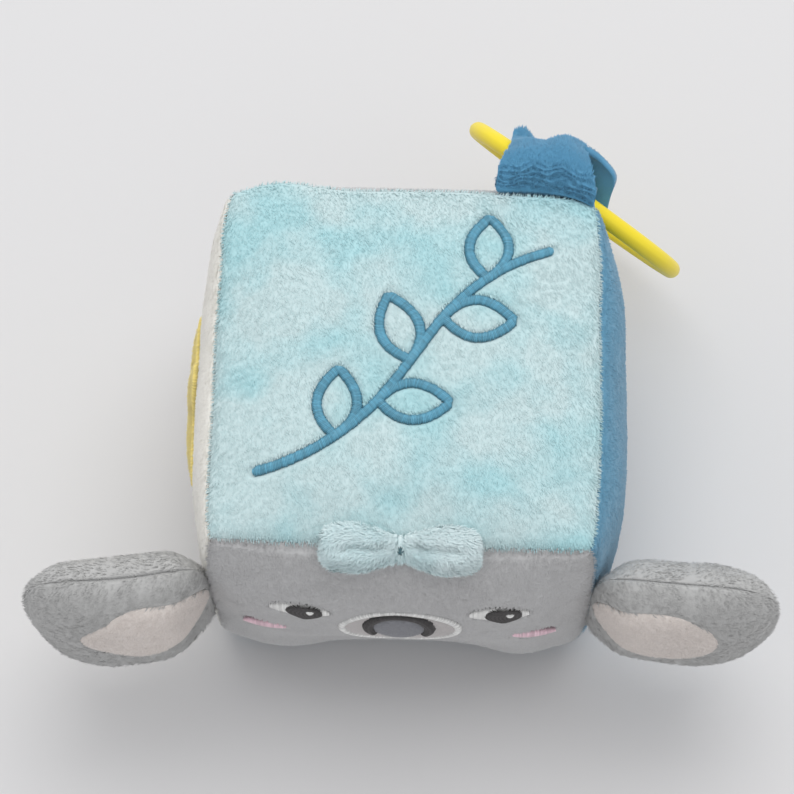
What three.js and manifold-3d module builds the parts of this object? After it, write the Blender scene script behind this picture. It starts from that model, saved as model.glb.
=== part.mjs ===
// Soft fabric block with an animal face, two side ears, a bow and a teething ring.
// Millimetres, +Z up, the face looks along -Y. The origin is the middle of the flat base.

import * as THREE from 'three';
import { mergeVertices } from 'three/addons/utils/BufferGeometryUtils.js';
import Module from 'manifold-3d';

const wasm = await Module();
wasm.setup();

// Driving dimensions

// The stuffed body: distances from seam to seam, and how far each panel swells beyond its seams.
const block = {
  seamWidth: 106,
  seamDepth: 106,
  seamHeight: 96,
  seamRest: 4,          // height of the lower seams above the floor
  plushThickness: 2.2,
  sideCrown: 9.8,
  leftCrown: 7,         // the stitched patch holds this side flatter
  frontCrown: 9.6,
  topCrown: 7,
  baseCrown: 9,         // swells this far, then the floor cuts it flat
};
const crownPower = 4.2;
const cornerShare = 0.045;      // how far a corner draws in towards the middle
const cornerPower = 6;
const tuckHeight = 24;          // below this the sides draw in towards the base
const tuckShare = 0.04;

// The hollow under the muzzle, where dense stitching holds the face back.
const chin = { hollowDepth: 5.5, down: 12, softness: 4, halfWidth: 24 };
const chinPower = 4;

// Gaps between neighbours.
const seamGap = 0.24;           // each panel stands this far back from its corner line
const fitGap = 0.32;            // between anything laid on, in or through something else

// The face: places are measured across (x) and up from the middle of the front panel.
const applique = { thickness: 1.1 };
const eye = { up: 18, halfWidth: 8, halfHeight: 5.8 };
const eyeAcrossShare = 0.525;    // of the front panel's half width
const pupil = { across: 2.2, up: -0.2, halfWidth: 5.4, halfHeight: 4.7, thickness: 0.7 };
const glint = { across: 1.7, up: 2.1, radius: 1.1, thickness: 0.5 };
const muzzle = { up: 6.5, halfWidth: 17.5, halfHeight: 13.5, lobeDrop: 3.2 };
const nose = { up: 8.5, padHalfWidth: 7.1, padHalfHeight: 8.6, padThickness: 2.2 };
const noseRim = { width: 3.4, thickness: 1.5 };
const cheek = { down: 3.5, halfWidth: 6.2, halfHeight: 3.4 };
const cheekAcrossShare = 0.726;

// The ears: reach is measured from the corner seam outwards, up from the block's middle.
const ear = {
  rootOffset: 0.75,
  reach: 54,
  middle: 28,
  up: 3,
  halfHeight: 27,
  frontSwell: 11,
  backSwell: 9.5,
  shell: 1.5,
  rim: 1.2,
  rootBlend: 18,
  bulge: 3,             // its middle stands this far forward of the line from root to tip
  droop: 5,             // and its lower edge this much further
};
const earLeanDeg = 6;
const earRootShare = 0.2;
const earTipPower = 2.15;
const earRootPower = 5;
const earEdgePower = 2.6;       // how late the puff falls off towards the rim
const earRoundPower = 0.75;     // how round it falls off there
const earFillShare = 0.93;
const earFillThickShare = 0.97;
const lining = { middle: 19.4, up: 5.5, halfLength: 16.5, halfHeight: 14.5, thickness: 1, lift: 1 };

// The bow on the top front seam.
const bow = {
  reach: 22.5,
  knotHalf: 1.7,
  neckHalfWidth: 4,
  endHalfWidth: 7.4,
  neckHalfThickness: 0.9,
  puffHalfThickness: 2.4,
  drape: 1.9,
  knotHalfWidth: 4.2,
  knotHalfThickness: 1.9,
};
const bowTiltDeg = 55;
const bowEndPower = 2.6;
const bowWidenShare = 0.62;     // a wing has its full width at this share of its length
const bowPuffShare = 0.45;      // and its full thickness at this one
const bowStationShares = [0, 0.12, 0.3, 0.5, 0.7, 0.85, 0.95, 0.99];
const knotStationShares = [-1, -0.8, -0.3, 0.3, 0.8, 1];
const knotPinchShare = 0.5;

// The ring and the plush loop that carries it.
const ring = {
  tubeRadius: 2.65,
  radius: 36.2,
};
// Where the loop holds the ring: inwards of the right seam, beyond the back seam, below the top.
const hold = { inward: 15.2, beyond: 15.8, below: 16 };
const ringBearingDeg = 53.13;
const ringKickDeg = 21.5;
const ringStrapOffset = 4;      // the loop sits this far off the ring's highest point
const strap = {
  thickness: 1.7,
  baseInset: 28,        // from the right seam to the loop's first stitch
  baseWidth: 25,
  baseHalfThickness: 1.5,
  baseRise: 1.9,
  tunnelLength: 22,
  boreRoom: 0.8,
  neck: 3.4,            // the two layers part this far from the stitching
  mouth: 0.6,           // half the space between them there
  slackStart: 2.4,
  slackEnd: 4.6,
  flare: 6,             // the top layer stands this much higher at the loop's right end
};
const strapEarlyShare = 0.45;
const strapUnderShare = 0.76;
const strapUnderWidthShare = 0.66;
const strapRiseShares = [0, 0.25, 0.5, 0.75, 1];
const strapTurnShares = [0.2, 0.4, 0.6, 0.8, 1];

// Decoration: a padded star on the left panel and a leafy sprig stitched on the top.
const star = { up: 2, tipRadius: 28, valleyRadius: 17, thickness: 2.6 };
const starTips = 5;
const starTipPower = 1.3;
const starDomeShare = 0.5;
const starDomePower = 4;
const starRim = { width: 2.2, thickness: 1.4 };
const sprig = {
  strokeWidth: 3.1,
  strokeThickness: 1.1,
  leafLength: 20,
  leafHalfWidth: 5.6,
};
// The stem's four guide points, as shares of the top panel's half width and half depth.
const stemShares = [[-0.77, -0.64], [0.11, -0.42], [-0.11, 0.3], [0.75, 0.66]];
const leafPlaceShares = [0.2, 0.36, 0.52, 0.68, 0.84];
const leafSpreadDeg = 52;
const leafBellyShare = 0.45;
const strokeEndShare = 0.6;
const strokeTopShare = 0.55;

// Mesh fineness
const panelCells = 9;
const earSteps = 26;
const earRings = 6;
const liningRings = 4;
const patchSteps = 24;
const spotSteps = 16;
const patchRings = 2;
const starSteps = 50;
const bowSteps = 14;
const ringSteps = 44;
const tubeSides = 10;
const strapStations = 7;
const stemSteps = 18;
const leafSteps = 7;
const weldDistance = 1e-4;

const colours = {
  aqua: 0xb6dde2,
  blue: 0x5f96bd,
  grey: 0x96979a,
  cream: 0xebe6dc,
  yellow: 0xf0d24e,
  white: 0xf2f1ef,
  charcoal: 0x3c3a3b,
  noseGrey: 0x707378,
  pink: 0xb39aa4,
  innerEar: 0xbdb5ae,
  thread: 0x5298bc,
  fibre: 0xf4f4f2,
};

// Body shape

const half = new THREE.Vector3(block.seamWidth / 2, block.seamDepth / 2, block.seamHeight / 2);
const middleZ = block.seamRest + half.z;
const topSeamZ = block.seamRest + block.seamHeight;
const clamp01 = (t) => Math.min(1, Math.max(0, t));
const smooth = (t) => clamp01(t) ** 2 * (3 - 2 * clamp01(t));
const radians = THREE.MathUtils.degToRad;

// Each face: the axis it looks along, which way, its two across axes and its swell.
const faces = {
  front: { axis: 'y', sign: -1, across: ['x', 'z'], crown: block.frontCrown },
  back: { axis: 'y', sign: 1, across: ['x', 'z'], crown: block.sideCrown },
  left: { axis: 'x', sign: -1, across: ['y', 'z'], crown: block.leftCrown },
  right: { axis: 'x', sign: 1, across: ['y', 'z'], crown: block.sideCrown },
  top: { axis: 'z', sign: 1, across: ['x', 'y'], crown: block.topCrown },
  bottom: { axis: 'z', sign: -1, across: ['x', 'y'], crown: block.baseCrown },
};

// Swell of a square cushion: 1 in the middle, 0 on all four seams.
function swell(u, v) {
  return (1 - Math.abs(u) ** crownPower) * (1 - Math.abs(v) ** crownPower);
}

// Draws the lower sides in and presses the hollow under the muzzle into the front.
function settle(p) {
  const low = clamp01((tuckHeight - p.z) / tuckHeight);
  const draw = 1 - tuckShare * low ** 2;
  const reach = clamp01(-p.y / half.y) ** 2;
  const below = 1 / (1 + Math.exp((p.z - (middleZ - chin.down)) / chin.softness));
  const beside = Math.exp(-(Math.abs(p.x / chin.halfWidth) ** chinPower));
  p.x *= draw;
  p.y = p.y * draw + chin.hollowDepth * reach * below * beside;
  return p;
}

// A point of one face's skin, `depth` under its outside, `inset` back from its seams.
function skinPoint(face, u, v, depth, inset) {
  const p = new THREE.Vector3();
  const [a, b] = face.across;
  p[a] = u * (half[a] - depth - inset);
  p[b] = v * (half[b] - depth - inset);
  p[face.axis] = face.sign * (half[face.axis] - depth + face.crown * swell(u, v));
  p.multiplyScalar(1 - cornerShare * Math.abs(u * v) ** cornerPower);
  p.z += middleZ;
  settle(p);
  p.z = Math.max(p.z, depth);
  return p;
}

// The outside of the face at a place given in millimetres across it, lifted off by `lift`.
function onFace(face, s, t, lift) {
  const [a, b] = face.across;
  const mid = b === 'z' ? middleZ : 0;
  const p = new THREE.Vector3();
  const u = s / (half[a] - seamGap);
  const v = (t - mid) / (half[b] - seamGap);
  p[a] = s;
  p[b] = t - mid;
  p[face.axis] = face.sign * (half[face.axis] + face.crown * swell(u, v) + lift);
  p.z += middleZ;
  return settle(p);
}

// Mesh helpers

function solidFrom(points, triangles) {
  let geometry = new THREE.BufferGeometry();
  geometry.setAttribute('position', new THREE.Float32BufferAttribute(points, 3));
  geometry.setIndex(triangles);
  geometry = mergeVertices(geometry, weldDistance);
  if (volumeOf(geometry) < 0) {
    const index = geometry.getIndex();
    for (let i = 0; i < index.count; i += 3) {
      const keep = index.getX(i + 1);
      index.setX(i + 1, index.getX(i + 2));
      index.setX(i + 2, keep);
    }
  }
  return dropFlatTriangles(geometry);
}

function volumeOf(geometry) {
  const index = geometry.getIndex();
  const position = geometry.getAttribute('position');
  const corner = [0, 1, 2].map(() => new THREE.Vector3());
  let sum = 0;
  for (let i = 0; i < index.count; i += 3) {
    corner.forEach((c, k) => c.fromBufferAttribute(position, index.getX(i + k)));
    sum += corner[0].dot(corner[1].clone().cross(corner[2])) / 6;
  }
  return sum;
}

// Welding can leave a triangle with two equal corners at a pole: those are left out.
function dropFlatTriangles(geometry) {
  const index = geometry.getIndex();
  const kept = [];
  for (let i = 0; i < index.count; i += 3) {
    const [a, b, c] = [index.getX(i), index.getX(i + 1), index.getX(i + 2)];
    if (a !== b && b !== c && a !== c) kept.push(a, b, c);
  }
  geometry.setIndex(kept);
  return geometry;
}

// A slab between two point grids that share their (u, v) cells, closed round its edge.
function gridSlab(outside, inside, cells) {
  const points = [];
  const triangles = [];
  const side = cells + 1;
  const stops = [...Array(side).keys()].map((i) => Math.sin((Math.PI / 2) * ((2 * i) / cells - 1)));
  for (const layer of [outside, inside]) {
    for (const v of stops) for (const u of stops) points.push(...layer(u, v).toArray());
  }
  const at = (layer, i, j) => layer * side * side + j * side + i;
  for (let j = 0; j < cells; j++) {
    for (let i = 0; i < cells; i++) {
      addQuad(triangles, at(0, i, j), at(0, i + 1, j), at(0, i + 1, j + 1), at(0, i, j + 1));
      addQuad(triangles, at(1, i, j + 1), at(1, i + 1, j + 1), at(1, i + 1, j), at(1, i, j));
    }
  }
  for (let k = 0; k < cells; k++) {
    addQuad(triangles, at(0, k + 1, 0), at(0, k, 0), at(1, k, 0), at(1, k + 1, 0));
    addQuad(triangles, at(0, k, cells), at(0, k + 1, cells), at(1, k + 1, cells), at(1, k, cells));
    addQuad(triangles, at(0, 0, k), at(0, 0, k + 1), at(1, 0, k + 1), at(1, 0, k));
    addQuad(triangles, at(0, cells, k + 1), at(0, cells, k), at(1, cells, k), at(1, cells, k + 1));
  }
  return solidFrom(points, triangles);
}

function addQuad(triangles, a, b, c, d) {
  triangles.push(a, b, c, a, c, d);
}

// A closed skin over rings of points: the first and last ring are filled by a fan.
function loft(rings) {
  const points = [];
  const triangles = [];
  const steps = rings[0].length;
  rings.forEach((loop) => loop.forEach((p) => points.push(...p.toArray())));
  for (let r = 0; r + 1 < rings.length; r++) {
    for (let k = 0; k < steps; k++) {
      const next = (k + 1) % steps;
      addQuad(triangles, r * steps + k, r * steps + next, (r + 1) * steps + next, (r + 1) * steps + k);
    }
  }
  const last = (rings.length - 1) * steps;
  for (const [start, flip] of [[0, true], [last, false]]) {
    const hub = points.length / 3;
    const loop = rings[start / steps];
    const centre = loop.reduce((sum, p) => sum.add(p), new THREE.Vector3()).divideScalar(steps);
    points.push(...centre.toArray());
    for (let k = 0; k < steps; k++) {
      const a = start + k;
      const b = start + ((k + 1) % steps);
      triangles.push(...(flip ? [hub, b, a] : [hub, a, b]));
    }
  }
  return solidFrom(points, triangles);
}

// A closed skin over rings that join up last to first, like a doughnut.
function hoop(rings) {
  const points = [];
  const triangles = [];
  const steps = rings[0].length;
  rings.forEach((loop) => loop.forEach((p) => points.push(...p.toArray())));
  for (let r = 0; r < rings.length; r++) {
    const up = (r + 1) % rings.length;
    for (let k = 0; k < steps; k++) {
      const next = (k + 1) % steps;
      addQuad(triangles, r * steps + k, r * steps + next, up * steps + next, up * steps + k);
    }
  }
  return solidFrom(points, triangles);
}

// A round-edged patch between two surfaces: place(share, angle, side) with side 0 out, 1 in.
function domeSlab(place, steps, count) {
  const rings = [];
  const angles = [...Array(steps).keys()].map((k) => (2 * Math.PI * k) / steps);
  const shares = [...Array(count).keys()].map((i) => Math.sin((Math.PI / 2) * ((i + 1) / count)));
  for (const share of shares) rings.push(angles.map((angle) => place(share, angle, 0)));
  for (const share of shares.reverse()) rings.push(angles.map((angle) => place(share, angle, 1)));
  return loft(rings);
}

function finish(name, geometry, colour, roughness = 0.95) {
  const clean = geometry.index ? geometry.toNonIndexed() : geometry;
  clean.computeVertexNormals();
  const material = new THREE.MeshStandardMaterial({ color: colour, roughness, metalness: 0 });
  const mesh = new THREE.Mesh(clean, material);
  mesh.name = name;
  return mesh;
}

function toManifold(geometry) {
  const bare = new THREE.BufferGeometry();
  bare.setAttribute('position', geometry.getAttribute('position'));
  bare.setIndex(geometry.getIndex());
  const merged = mergeVertices(bare, weldDistance);
  const vertProperties = new Float32Array(merged.getAttribute('position').array);
  const triVerts = new Uint32Array(merged.getIndex().array);
  return new wasm.Manifold(new wasm.Mesh({ numProp: 3, vertProperties, triVerts }));
}

function fromManifold(solid) {
  const mesh = solid.getMesh();
  const geometry = new THREE.BufferGeometry();
  geometry.setAttribute('position', new THREE.Float32BufferAttribute(mesh.vertProperties, 3));
  geometry.setIndex([...mesh.triVerts]);
  return geometry;
}

// Body panels and filling

function buildPanel(name, colour) {
  const face = faces[name];
  const outside = (u, v) => skinPoint(face, u, v, 0, seamGap);
  const inside = (u, v) => skinPoint(face, u, v, block.plushThickness, seamGap);
  return finish(`${name}_panel`, gridSlab(outside, inside, panelCells), colour);
}

// The fibre core follows the inside of all six panels and is welded along the twelve edges.
function buildFilling() {
  const depth = block.plushThickness + fitGap;
  const points = [];
  const triangles = [];
  const side = panelCells + 1;
  const stops = [...Array(side).keys()].map((i) => Math.sin((Math.PI / 2) * ((2 * i) / panelCells - 1)));
  for (const face of Object.values(faces)) {
    const start = points.length / 3;
    for (const v of stops) {
      for (const u of stops) points.push(...skinPoint(face, u, v, depth, 0).toArray());
    }
    const right = face.axis === 'y' ? -face.sign : face.sign;
    for (let j = 0; j < panelCells; j++) {
      for (let i = 0; i < panelCells; i++) {
        const a = start + j * side + i;
        const turned = [a + side, a + side + 1, a + 1, a];
        addQuad(triangles, ...(right > 0 ? [a + 1, a + side + 1, a + side, a] : turned));
      }
    }
  }
  return finish('fibre_filling', solidFrom(points, triangles), colours.fibre);
}

// Face

// A patch laid on the front panel: outline(angle) gives its edge as (across, up) from (x, up).
function facePatch(name, x, up, outline, base, thickness, colour, steps = patchSteps) {
  const place = (share, angle, side) => {
    const edge = outline(angle);
    const lift = side === 0 ? base + thickness : base;
    return onFace(faces.front, x + share * edge.x, middleZ + up + share * edge.y, lift);
  };
  return finish(name, domeSlab(place, steps, patchRings), colour);
}

const oval = (halfWidth, halfHeight) => (angle) =>
  new THREE.Vector2(halfWidth * Math.cos(angle), halfHeight * Math.sin(angle));

// Two round lobes side by side: the oval's lower edge is lifted in the middle.
function muzzleEdge(angle) {
  const edge = oval(muzzle.halfWidth, muzzle.halfHeight)(angle);
  const under = clamp01(-Math.sin(angle));
  const middle = Math.exp(-(((2 * edge.x) / muzzle.halfWidth) ** 2));
  edge.y += muzzle.lobeDrop * under * middle;
  return edge;
}

function buildFace() {
  const parts = [];
  const first = fitGap;
  const second = first + applique.thickness + fitGap;
  const third = second + pupil.thickness + fitGap;
  parts.push(facePatch('muzzle_patch', 0, muzzle.up, muzzleEdge, first, applique.thickness, colours.white));
  parts.push(buildNoseRim(second));
  const pad = oval(nose.padHalfWidth, nose.padHalfHeight);
  parts.push(facePatch('nose_pad', 0, nose.up, pad, second, nose.padThickness, colours.noseGrey));
  for (const [side, sign] of [['left', -1], ['right', 1]]) {
    const x = sign * half.x * eyeAcrossShare;
    const white = oval(eye.halfWidth, eye.halfHeight);
    parts.push(facePatch(`eye_white_${side}`, x, eye.up, white, first, applique.thickness, colours.white));
    const dark = oval(pupil.halfWidth, pupil.halfHeight);
    const pupilX = x + pupil.across;
    const pupilUp = eye.up + pupil.up;
    const ink = colours.charcoal;
    parts.push(facePatch(`eye_pupil_${side}`, pupilX, pupilUp, dark, second, pupil.thickness, ink));
    const spot = oval(glint.radius, glint.radius);
    const spotX = pupilX + glint.across;
    const spotUp = pupilUp + glint.up;
    const shine = [glint.thickness, colours.white, spotSteps];
    parts.push(facePatch(`eye_glint_${side}`, spotX, spotUp, spot, third, ...shine));
    const blush = oval(cheek.halfWidth, cheek.halfHeight);
    const skin = [applique.thickness, colours.pink];
    const cheekX = sign * half.x * cheekAcrossShare;
    parts.push(facePatch(`cheek_${side}`, cheekX, -cheek.down, blush, first, ...skin));
  }
  return parts;
}

// The stitched rim round the nose pad: a flat band on the muzzle with a gap to the pad.
function buildNoseRim(base) {
  const noseZ = middleZ + nose.up;
  const rings = [];
  const inner = oval(nose.padHalfWidth + fitGap, nose.padHalfHeight + fitGap);
  const outer = oval(nose.padHalfWidth + noseRim.width, nose.padHalfHeight + noseRim.width);
  for (let k = 0; k < patchSteps; k++) {
    const angle = (2 * Math.PI * k) / patchSteps;
    const [a, b] = [inner(angle), outer(angle)];
    const high = base + noseRim.thickness;
    rings.push([
      onFace(faces.front, a.x, noseZ + a.y, base),
      onFace(faces.front, b.x, noseZ + b.y, base),
      onFace(faces.front, b.x, noseZ + b.y, high),
      onFace(faces.front, a.x, noseZ + a.y, high),
    ]);
  }
  return finish('nose_rim', hoop(rings), colours.charcoal);
}

// Ears

const earZ = middleZ + ear.up;

// Share of the way from the ear's middle to its edge: 0 in the middle, 1 on the rim seam.
function earShare(s, z) {
  const along = s - ear.middle;
  const outer = along > 0;
  const power = outer ? earTipPower : earRootPower;
  const length = outer ? ear.reach - ear.middle : ear.middle - ear.rootOffset;
  return (Math.abs(along / length) ** power + Math.abs((z - earZ) / ear.halfHeight) ** power) ** (1 / power);
}

function earEdge(angle) {
  const [c, s] = [Math.cos(angle), Math.sin(angle)];
  const power = c > 0 ? earTipPower : earRootPower;
  const length = c > 0 ? ear.reach - ear.middle : ear.middle - ear.rootOffset;
  const x = Math.sign(c) * length * Math.abs(c) ** (2 / power);
  const y = Math.sign(s) * ear.halfHeight * Math.abs(s) ** (2 / power);
  return new THREE.Vector2(x, y);
}

// Height of the puffed ear over its rim plane; it thins towards the root seam.
function earSwell(s, z, height) {
  const root = earRootShare + (1 - earRootShare) * smooth((s - ear.rootOffset) / ear.rootBlend);
  const share = Math.min(1, earShare(s, z));
  return height * root * (1 - share ** earEdgePower) ** earRoundPower;
}

// Ear space to the block's frame: s out from the corner seam, z up, h towards the viewer.
function earPlace(sign, s, z, h) {
  const lean = radians(earLeanDeg);
  const out = new THREE.Vector3(sign * Math.cos(lean), -Math.sin(lean), 0);
  const forward = new THREE.Vector3(-sign * Math.sin(lean), -Math.cos(lean), 0);
  const root = new THREE.Vector3(sign * half.x, -half.y, z);
  const low = Math.max(0, (earZ - z) / ear.halfHeight) ** 2;
  const ahead = ear.bulge * Math.sin((Math.PI * s) / ear.reach) + ear.droop * low * smooth(s / ear.rootBlend);
  return root.addScaledVector(out, s).addScaledVector(forward, h + ahead);
}

function buildEar(side, sign) {
  const parts = [];
  const shells = [['front', 1, ear.frontSwell, colours.grey], ['back', -1, ear.backSwell, colours.grey]];
  for (const [name, facing, height, colour] of shells) {
    const place = (share, angle, inside) => {
      const edge = earEdge(angle);
      const s = ear.middle + share * edge.x;
      const z = earZ + share * edge.y;
      const inner = fitGap / 2 + earSwell(s, z, height - ear.shell + ear.rim);
      const outer = ear.rim + earSwell(s, z, height);
      return earPlace(sign, s, z, facing * (inside ? Math.min(inner, outer - ear.rim + fitGap / 2) : outer));
    };
    parts.push(finish(`ear_${side}_${name}`, domeSlab(place, earSteps, earRings), colour));
  }
  const stuffing = (share, angle, inside) => {
    const edge = earEdge(angle);
    const s = ear.middle + share * edge.x * earFillShare;
    const z = earZ + share * edge.y * earFillShare;
    const height = inside ? ear.backSwell : ear.frontSwell;
    const room = earSwell(s, z, height - ear.shell + ear.rim) - earSwell(...earRimPoint(edge), height);
    return earPlace(sign, s, z, (inside ? -1 : 1) * Math.max(0, room * earFillThickShare - fitGap));
  };
  parts.push(finish(`ear_${side}_filling`, domeSlab(stuffing, earSteps, earRings), colours.fibre));
  const patch = (share, angle, inside) => {
    const s = lining.middle + share * lining.halfLength * Math.cos(angle);
    const z = middleZ + lining.up + share * lining.halfHeight * Math.sin(angle);
    const base = ear.rim + earSwell(s, z, ear.frontSwell) + lining.lift;
    return earPlace(sign, s, z, inside ? base : base + lining.thickness);
  };
  parts.push(finish(`ear_${side}_lining`, domeSlab(patch, patchSteps, liningRings), colours.innerEar));
  return parts;
}

const earRimPoint = (edge) => [ear.middle + edge.x, earZ + edge.y];

// Bow

// Bow space: s along the seam, m across it, n off the block.
function bowPlace(s, m, n) {
  const tilt = radians(bowTiltDeg);
  const off = new THREE.Vector3(0, -Math.cos(tilt), Math.sin(tilt));
  const across = new THREE.Vector3(0, -Math.sin(tilt), -Math.cos(tilt));
  const p = new THREE.Vector3(s, -half.y, topSeamZ);
  return p.addScaledVector(across, m).addScaledVector(off, n);
}

function bowRing(s, halfWidth, halfThickness) {
  const loop = [];
  for (let k = 0; k < bowSteps; k++) {
    const angle = (2 * Math.PI * k) / bowSteps;
    const m = halfWidth * Math.cos(angle);
    const fall = bow.drape * (m / bow.endHalfWidth) ** 2;
    loop.push(bowPlace(s, m, fitGap + halfThickness * (1 + Math.sin(angle)) - fall));
  }
  return loop;
}

function buildBow() {
  const parts = [];
  const start = bow.knotHalf + fitGap;
  const length = bow.reach - start;
  for (const [side, sign] of [['left', -1], ['right', 1]]) {
    const rings = bowStationShares.map((share) => {
      const close = (1 - share ** (2 * bowEndPower)) ** (1 / bowEndPower);
      const spread = (bow.endHalfWidth - bow.neckHalfWidth) * smooth(share / bowWidenShare);
      const width = bow.neckHalfWidth + spread;
      const puff = bow.neckHalfThickness
        + (bow.puffHalfThickness - bow.neckHalfThickness) * smooth(share / bowPuffShare);
      return bowRing(sign * (start + share * length), width * close, puff * close);
    });
    parts.push(finish(`bow_${side}_wing`, loft(rings), colours.aqua));
  }
  const knot = knotStationShares.map((share) => {
    const close = 1 - knotPinchShare * share ** 2;
    return bowRing(share * bow.knotHalf, bow.knotHalfWidth * close, bow.knotHalfThickness * close);
  });
  parts.push(finish('bow_knot', loft(knot), colours.aqua));
  return parts;
}

// Ring and strap

const bearing = radians(ringBearingDeg);
const kick = radians(ringKickDeg);
const outward = new THREE.Vector3(Math.cos(bearing), Math.sin(bearing), 0);
const alongRing = new THREE.Vector3(Math.sin(bearing), -Math.cos(bearing), 0);
const downRing = outward.clone().multiplyScalar(Math.sin(kick)).setZ(-Math.cos(kick));
const strapAngle = Math.asin(-ringStrapOffset / ring.radius);
const hingePoint = new THREE.Vector3(half.x - hold.inward, half.y + hold.beyond, topSeamZ - hold.below);
const ringSpoke = (angle, radius) => downRing.clone().multiplyScalar(-radius * Math.cos(angle))
  .addScaledVector(alongRing, radius * Math.sin(angle));
const ringMiddle = hingePoint.clone().sub(ringSpoke(strapAngle, ring.radius));
const ringPoint = (angle, radius) => ringMiddle.clone().add(ringSpoke(angle, radius));
const hingeAxis = alongRing.clone().multiplyScalar(Math.cos(strapAngle))
  .addScaledVector(downRing, Math.sin(strapAngle));

function buildRing() {
  const rings = [];
  const normal = alongRing.clone().cross(downRing);
  for (let k = 0; k < ringSteps; k++) {
    const angle = (2 * Math.PI * k) / ringSteps;
    const loop = [];
    for (let j = 0; j < tubeSides; j++) {
      const turn = (2 * Math.PI * j) / tubeSides;
      const p = ringPoint(angle, ring.radius + ring.tubeRadius * Math.cos(turn));
      loop.push(p.addScaledVector(normal, ring.tubeRadius * Math.sin(turn)));
    }
    rings.push(loop);
  }
  return finish('teether_ring', hoop(rings), colours.yellow, 0.4);
}

// Half thickness of the plush loop seen from its side: a neck that opens into a round end.
function strapOutline(centre, slack, radius, neckHalf, start, end) {
  const middle = centre - strapEarlyShare * radius;
  const points = [];
  for (const t of strapRiseShares) {
    points.push([start + (middle - start) * t, neckHalf + (radius - neckHalf) * smooth(t)]);
  }
  for (const t of strapTurnShares) {
    const angle = (Math.PI / 2) * t;
    const reach = centre + slack;
    points.push([reach + (end - reach) * Math.sin(angle), radius * Math.cos(angle)]);
  }
  const under = points.slice(0, -1).reverse().map(([a, w]) => [a, -w * strapUnderShare]);
  return [...points, ...under];
}

function buildStrap() {
  const layers = [[], []];
  for (let i = 0; i < strapStations; i++) {
    const q = i / (strapStations - 1);
    for (const [layer, thickness] of [[0, strap.thickness], [1, 0]]) {
      layers[layer].push(strapLoop(q, thickness));
    }
  }
  return finish('ring_strap', openTube(...layers), colours.blue);
}

// One loop of the strap at share q of its width; the underside is narrower than the top.
function strapLoop(q, thickness) {
  const across = new THREE.Vector3(1, 0, 0);
  const loop = [];
  for (let k = 0; k < strapPoints; k++) {
    const under = k >= strapPoints / 2;
    const own = 0.5 + (q - 0.5) * (under ? strapUnderWidthShare : 1);
    const base = new THREE.Vector3(
      half.x - strap.baseInset + own * strap.baseWidth,
      half.y + fitGap,
      topSeamZ + strap.baseRise,
    );
    const centre = hingePoint.clone().addScaledVector(hingeAxis, (own - 0.5) * strap.tunnelLength);
    const axis = centre.clone().sub(base);
    const length = axis.length();
    axis.normalize();
    const rise = across.clone().cross(axis).normalize();
    const slack = strap.slackStart + (strap.slackEnd - strap.slackStart) * own;
    const neckHalf = thickness > 0 ? strap.baseHalfThickness : strap.mouth;
    const start = thickness > 0 ? 0 : strap.neck;
    const radius = strapBore + thickness;
    const crest = radius + (under ? 0 : strap.flare * own ** 2);
    const [a, w] = strapOutline(length, slack, crest, neckHalf, start, length + slack + radius)[k];
    loop.push(base.addScaledVector(axis, a).addScaledVector(rise, w));
  }
  return loop;
}

// The outline goes out over the top and comes back under it, sharing its far point.
const strapPoints = 2 * (strapRiseShares.length + strapTurnShares.length) - 1;

// The bore is wide enough for the ring's tube and for its bend over the tunnel's length.
const ringBend = ring.radius - Math.sqrt(ring.radius ** 2 - (strap.tunnelLength / 2) ** 2);
const strapBore = ring.tubeRadius + ringBend + fitGap + strap.boreRoom;

// A band with an outside and a bore, joined round both of its open ends.
function openTube(outer, inner) {
  const points = [];
  const triangles = [];
  const steps = outer[0].length;
  const rows = outer.length;
  for (const layer of [outer, inner]) {
    layer.forEach((loop) => loop.forEach((p) => points.push(...p.toArray())));
  }
  const at = (layer, r, k) => layer * rows * steps + r * steps + (k % steps);
  for (let k = 0; k < steps; k++) {
    for (let r = 0; r + 1 < rows; r++) {
      addQuad(triangles, at(0, r, k), at(0, r, k + 1), at(0, r + 1, k + 1), at(0, r + 1, k));
      addQuad(triangles, at(1, r + 1, k), at(1, r + 1, k + 1), at(1, r, k + 1), at(1, r, k));
    }
    const end = rows - 1;
    addQuad(triangles, at(0, 0, k + 1), at(0, 0, k), at(1, 0, k), at(1, 0, k + 1));
    addQuad(triangles, at(0, end, k), at(0, end, k + 1), at(1, end, k + 1), at(1, end, k));
  }
  return solidFrom(points, triangles);
}

// Decoration

// A star with rounded tips: the edge swings between the valleys and the tips.
function starEdge(angle, grow) {
  const wave = (1 + Math.cos(starTips * (angle - Math.PI / 2))) / 2;
  const radius = star.valleyRadius + (star.tipRadius - star.valleyRadius) * wave ** starTipPower + grow;
  return new THREE.Vector2(radius * Math.cos(angle), radius * Math.sin(angle));
}

function buildStar() {
  const starZ = middleZ + star.up;
  const pad = (share, angle, side) => {
    const edge = starEdge(angle, -starRim.width - fitGap);
    const dome = side === 0 ? star.thickness * (1 - starDomeShare * share ** starDomePower) : 0;
    return onFace(faces.left, share * edge.x, starZ + share * edge.y, fitGap + dome);
  };
  const rings = [];
  for (let k = 0; k < starSteps; k++) {
    const angle = (2 * Math.PI * k) / starSteps;
    const [a, b] = [starEdge(angle, -starRim.width), starEdge(angle, 0)];
    rings.push([[a, fitGap], [b, fitGap], [b, fitGap + starRim.thickness], [a, fitGap + starRim.thickness]]
      .map(([edge, lift]) => onFace(faces.left, edge.x, starZ + edge.y, lift)));
  }
  return [
    finish('star_patch', domeSlab(pad, starSteps, patchRings), colours.yellow),
    finish('star_rim', hoop(rings), colours.yellow),
  ];
}

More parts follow.
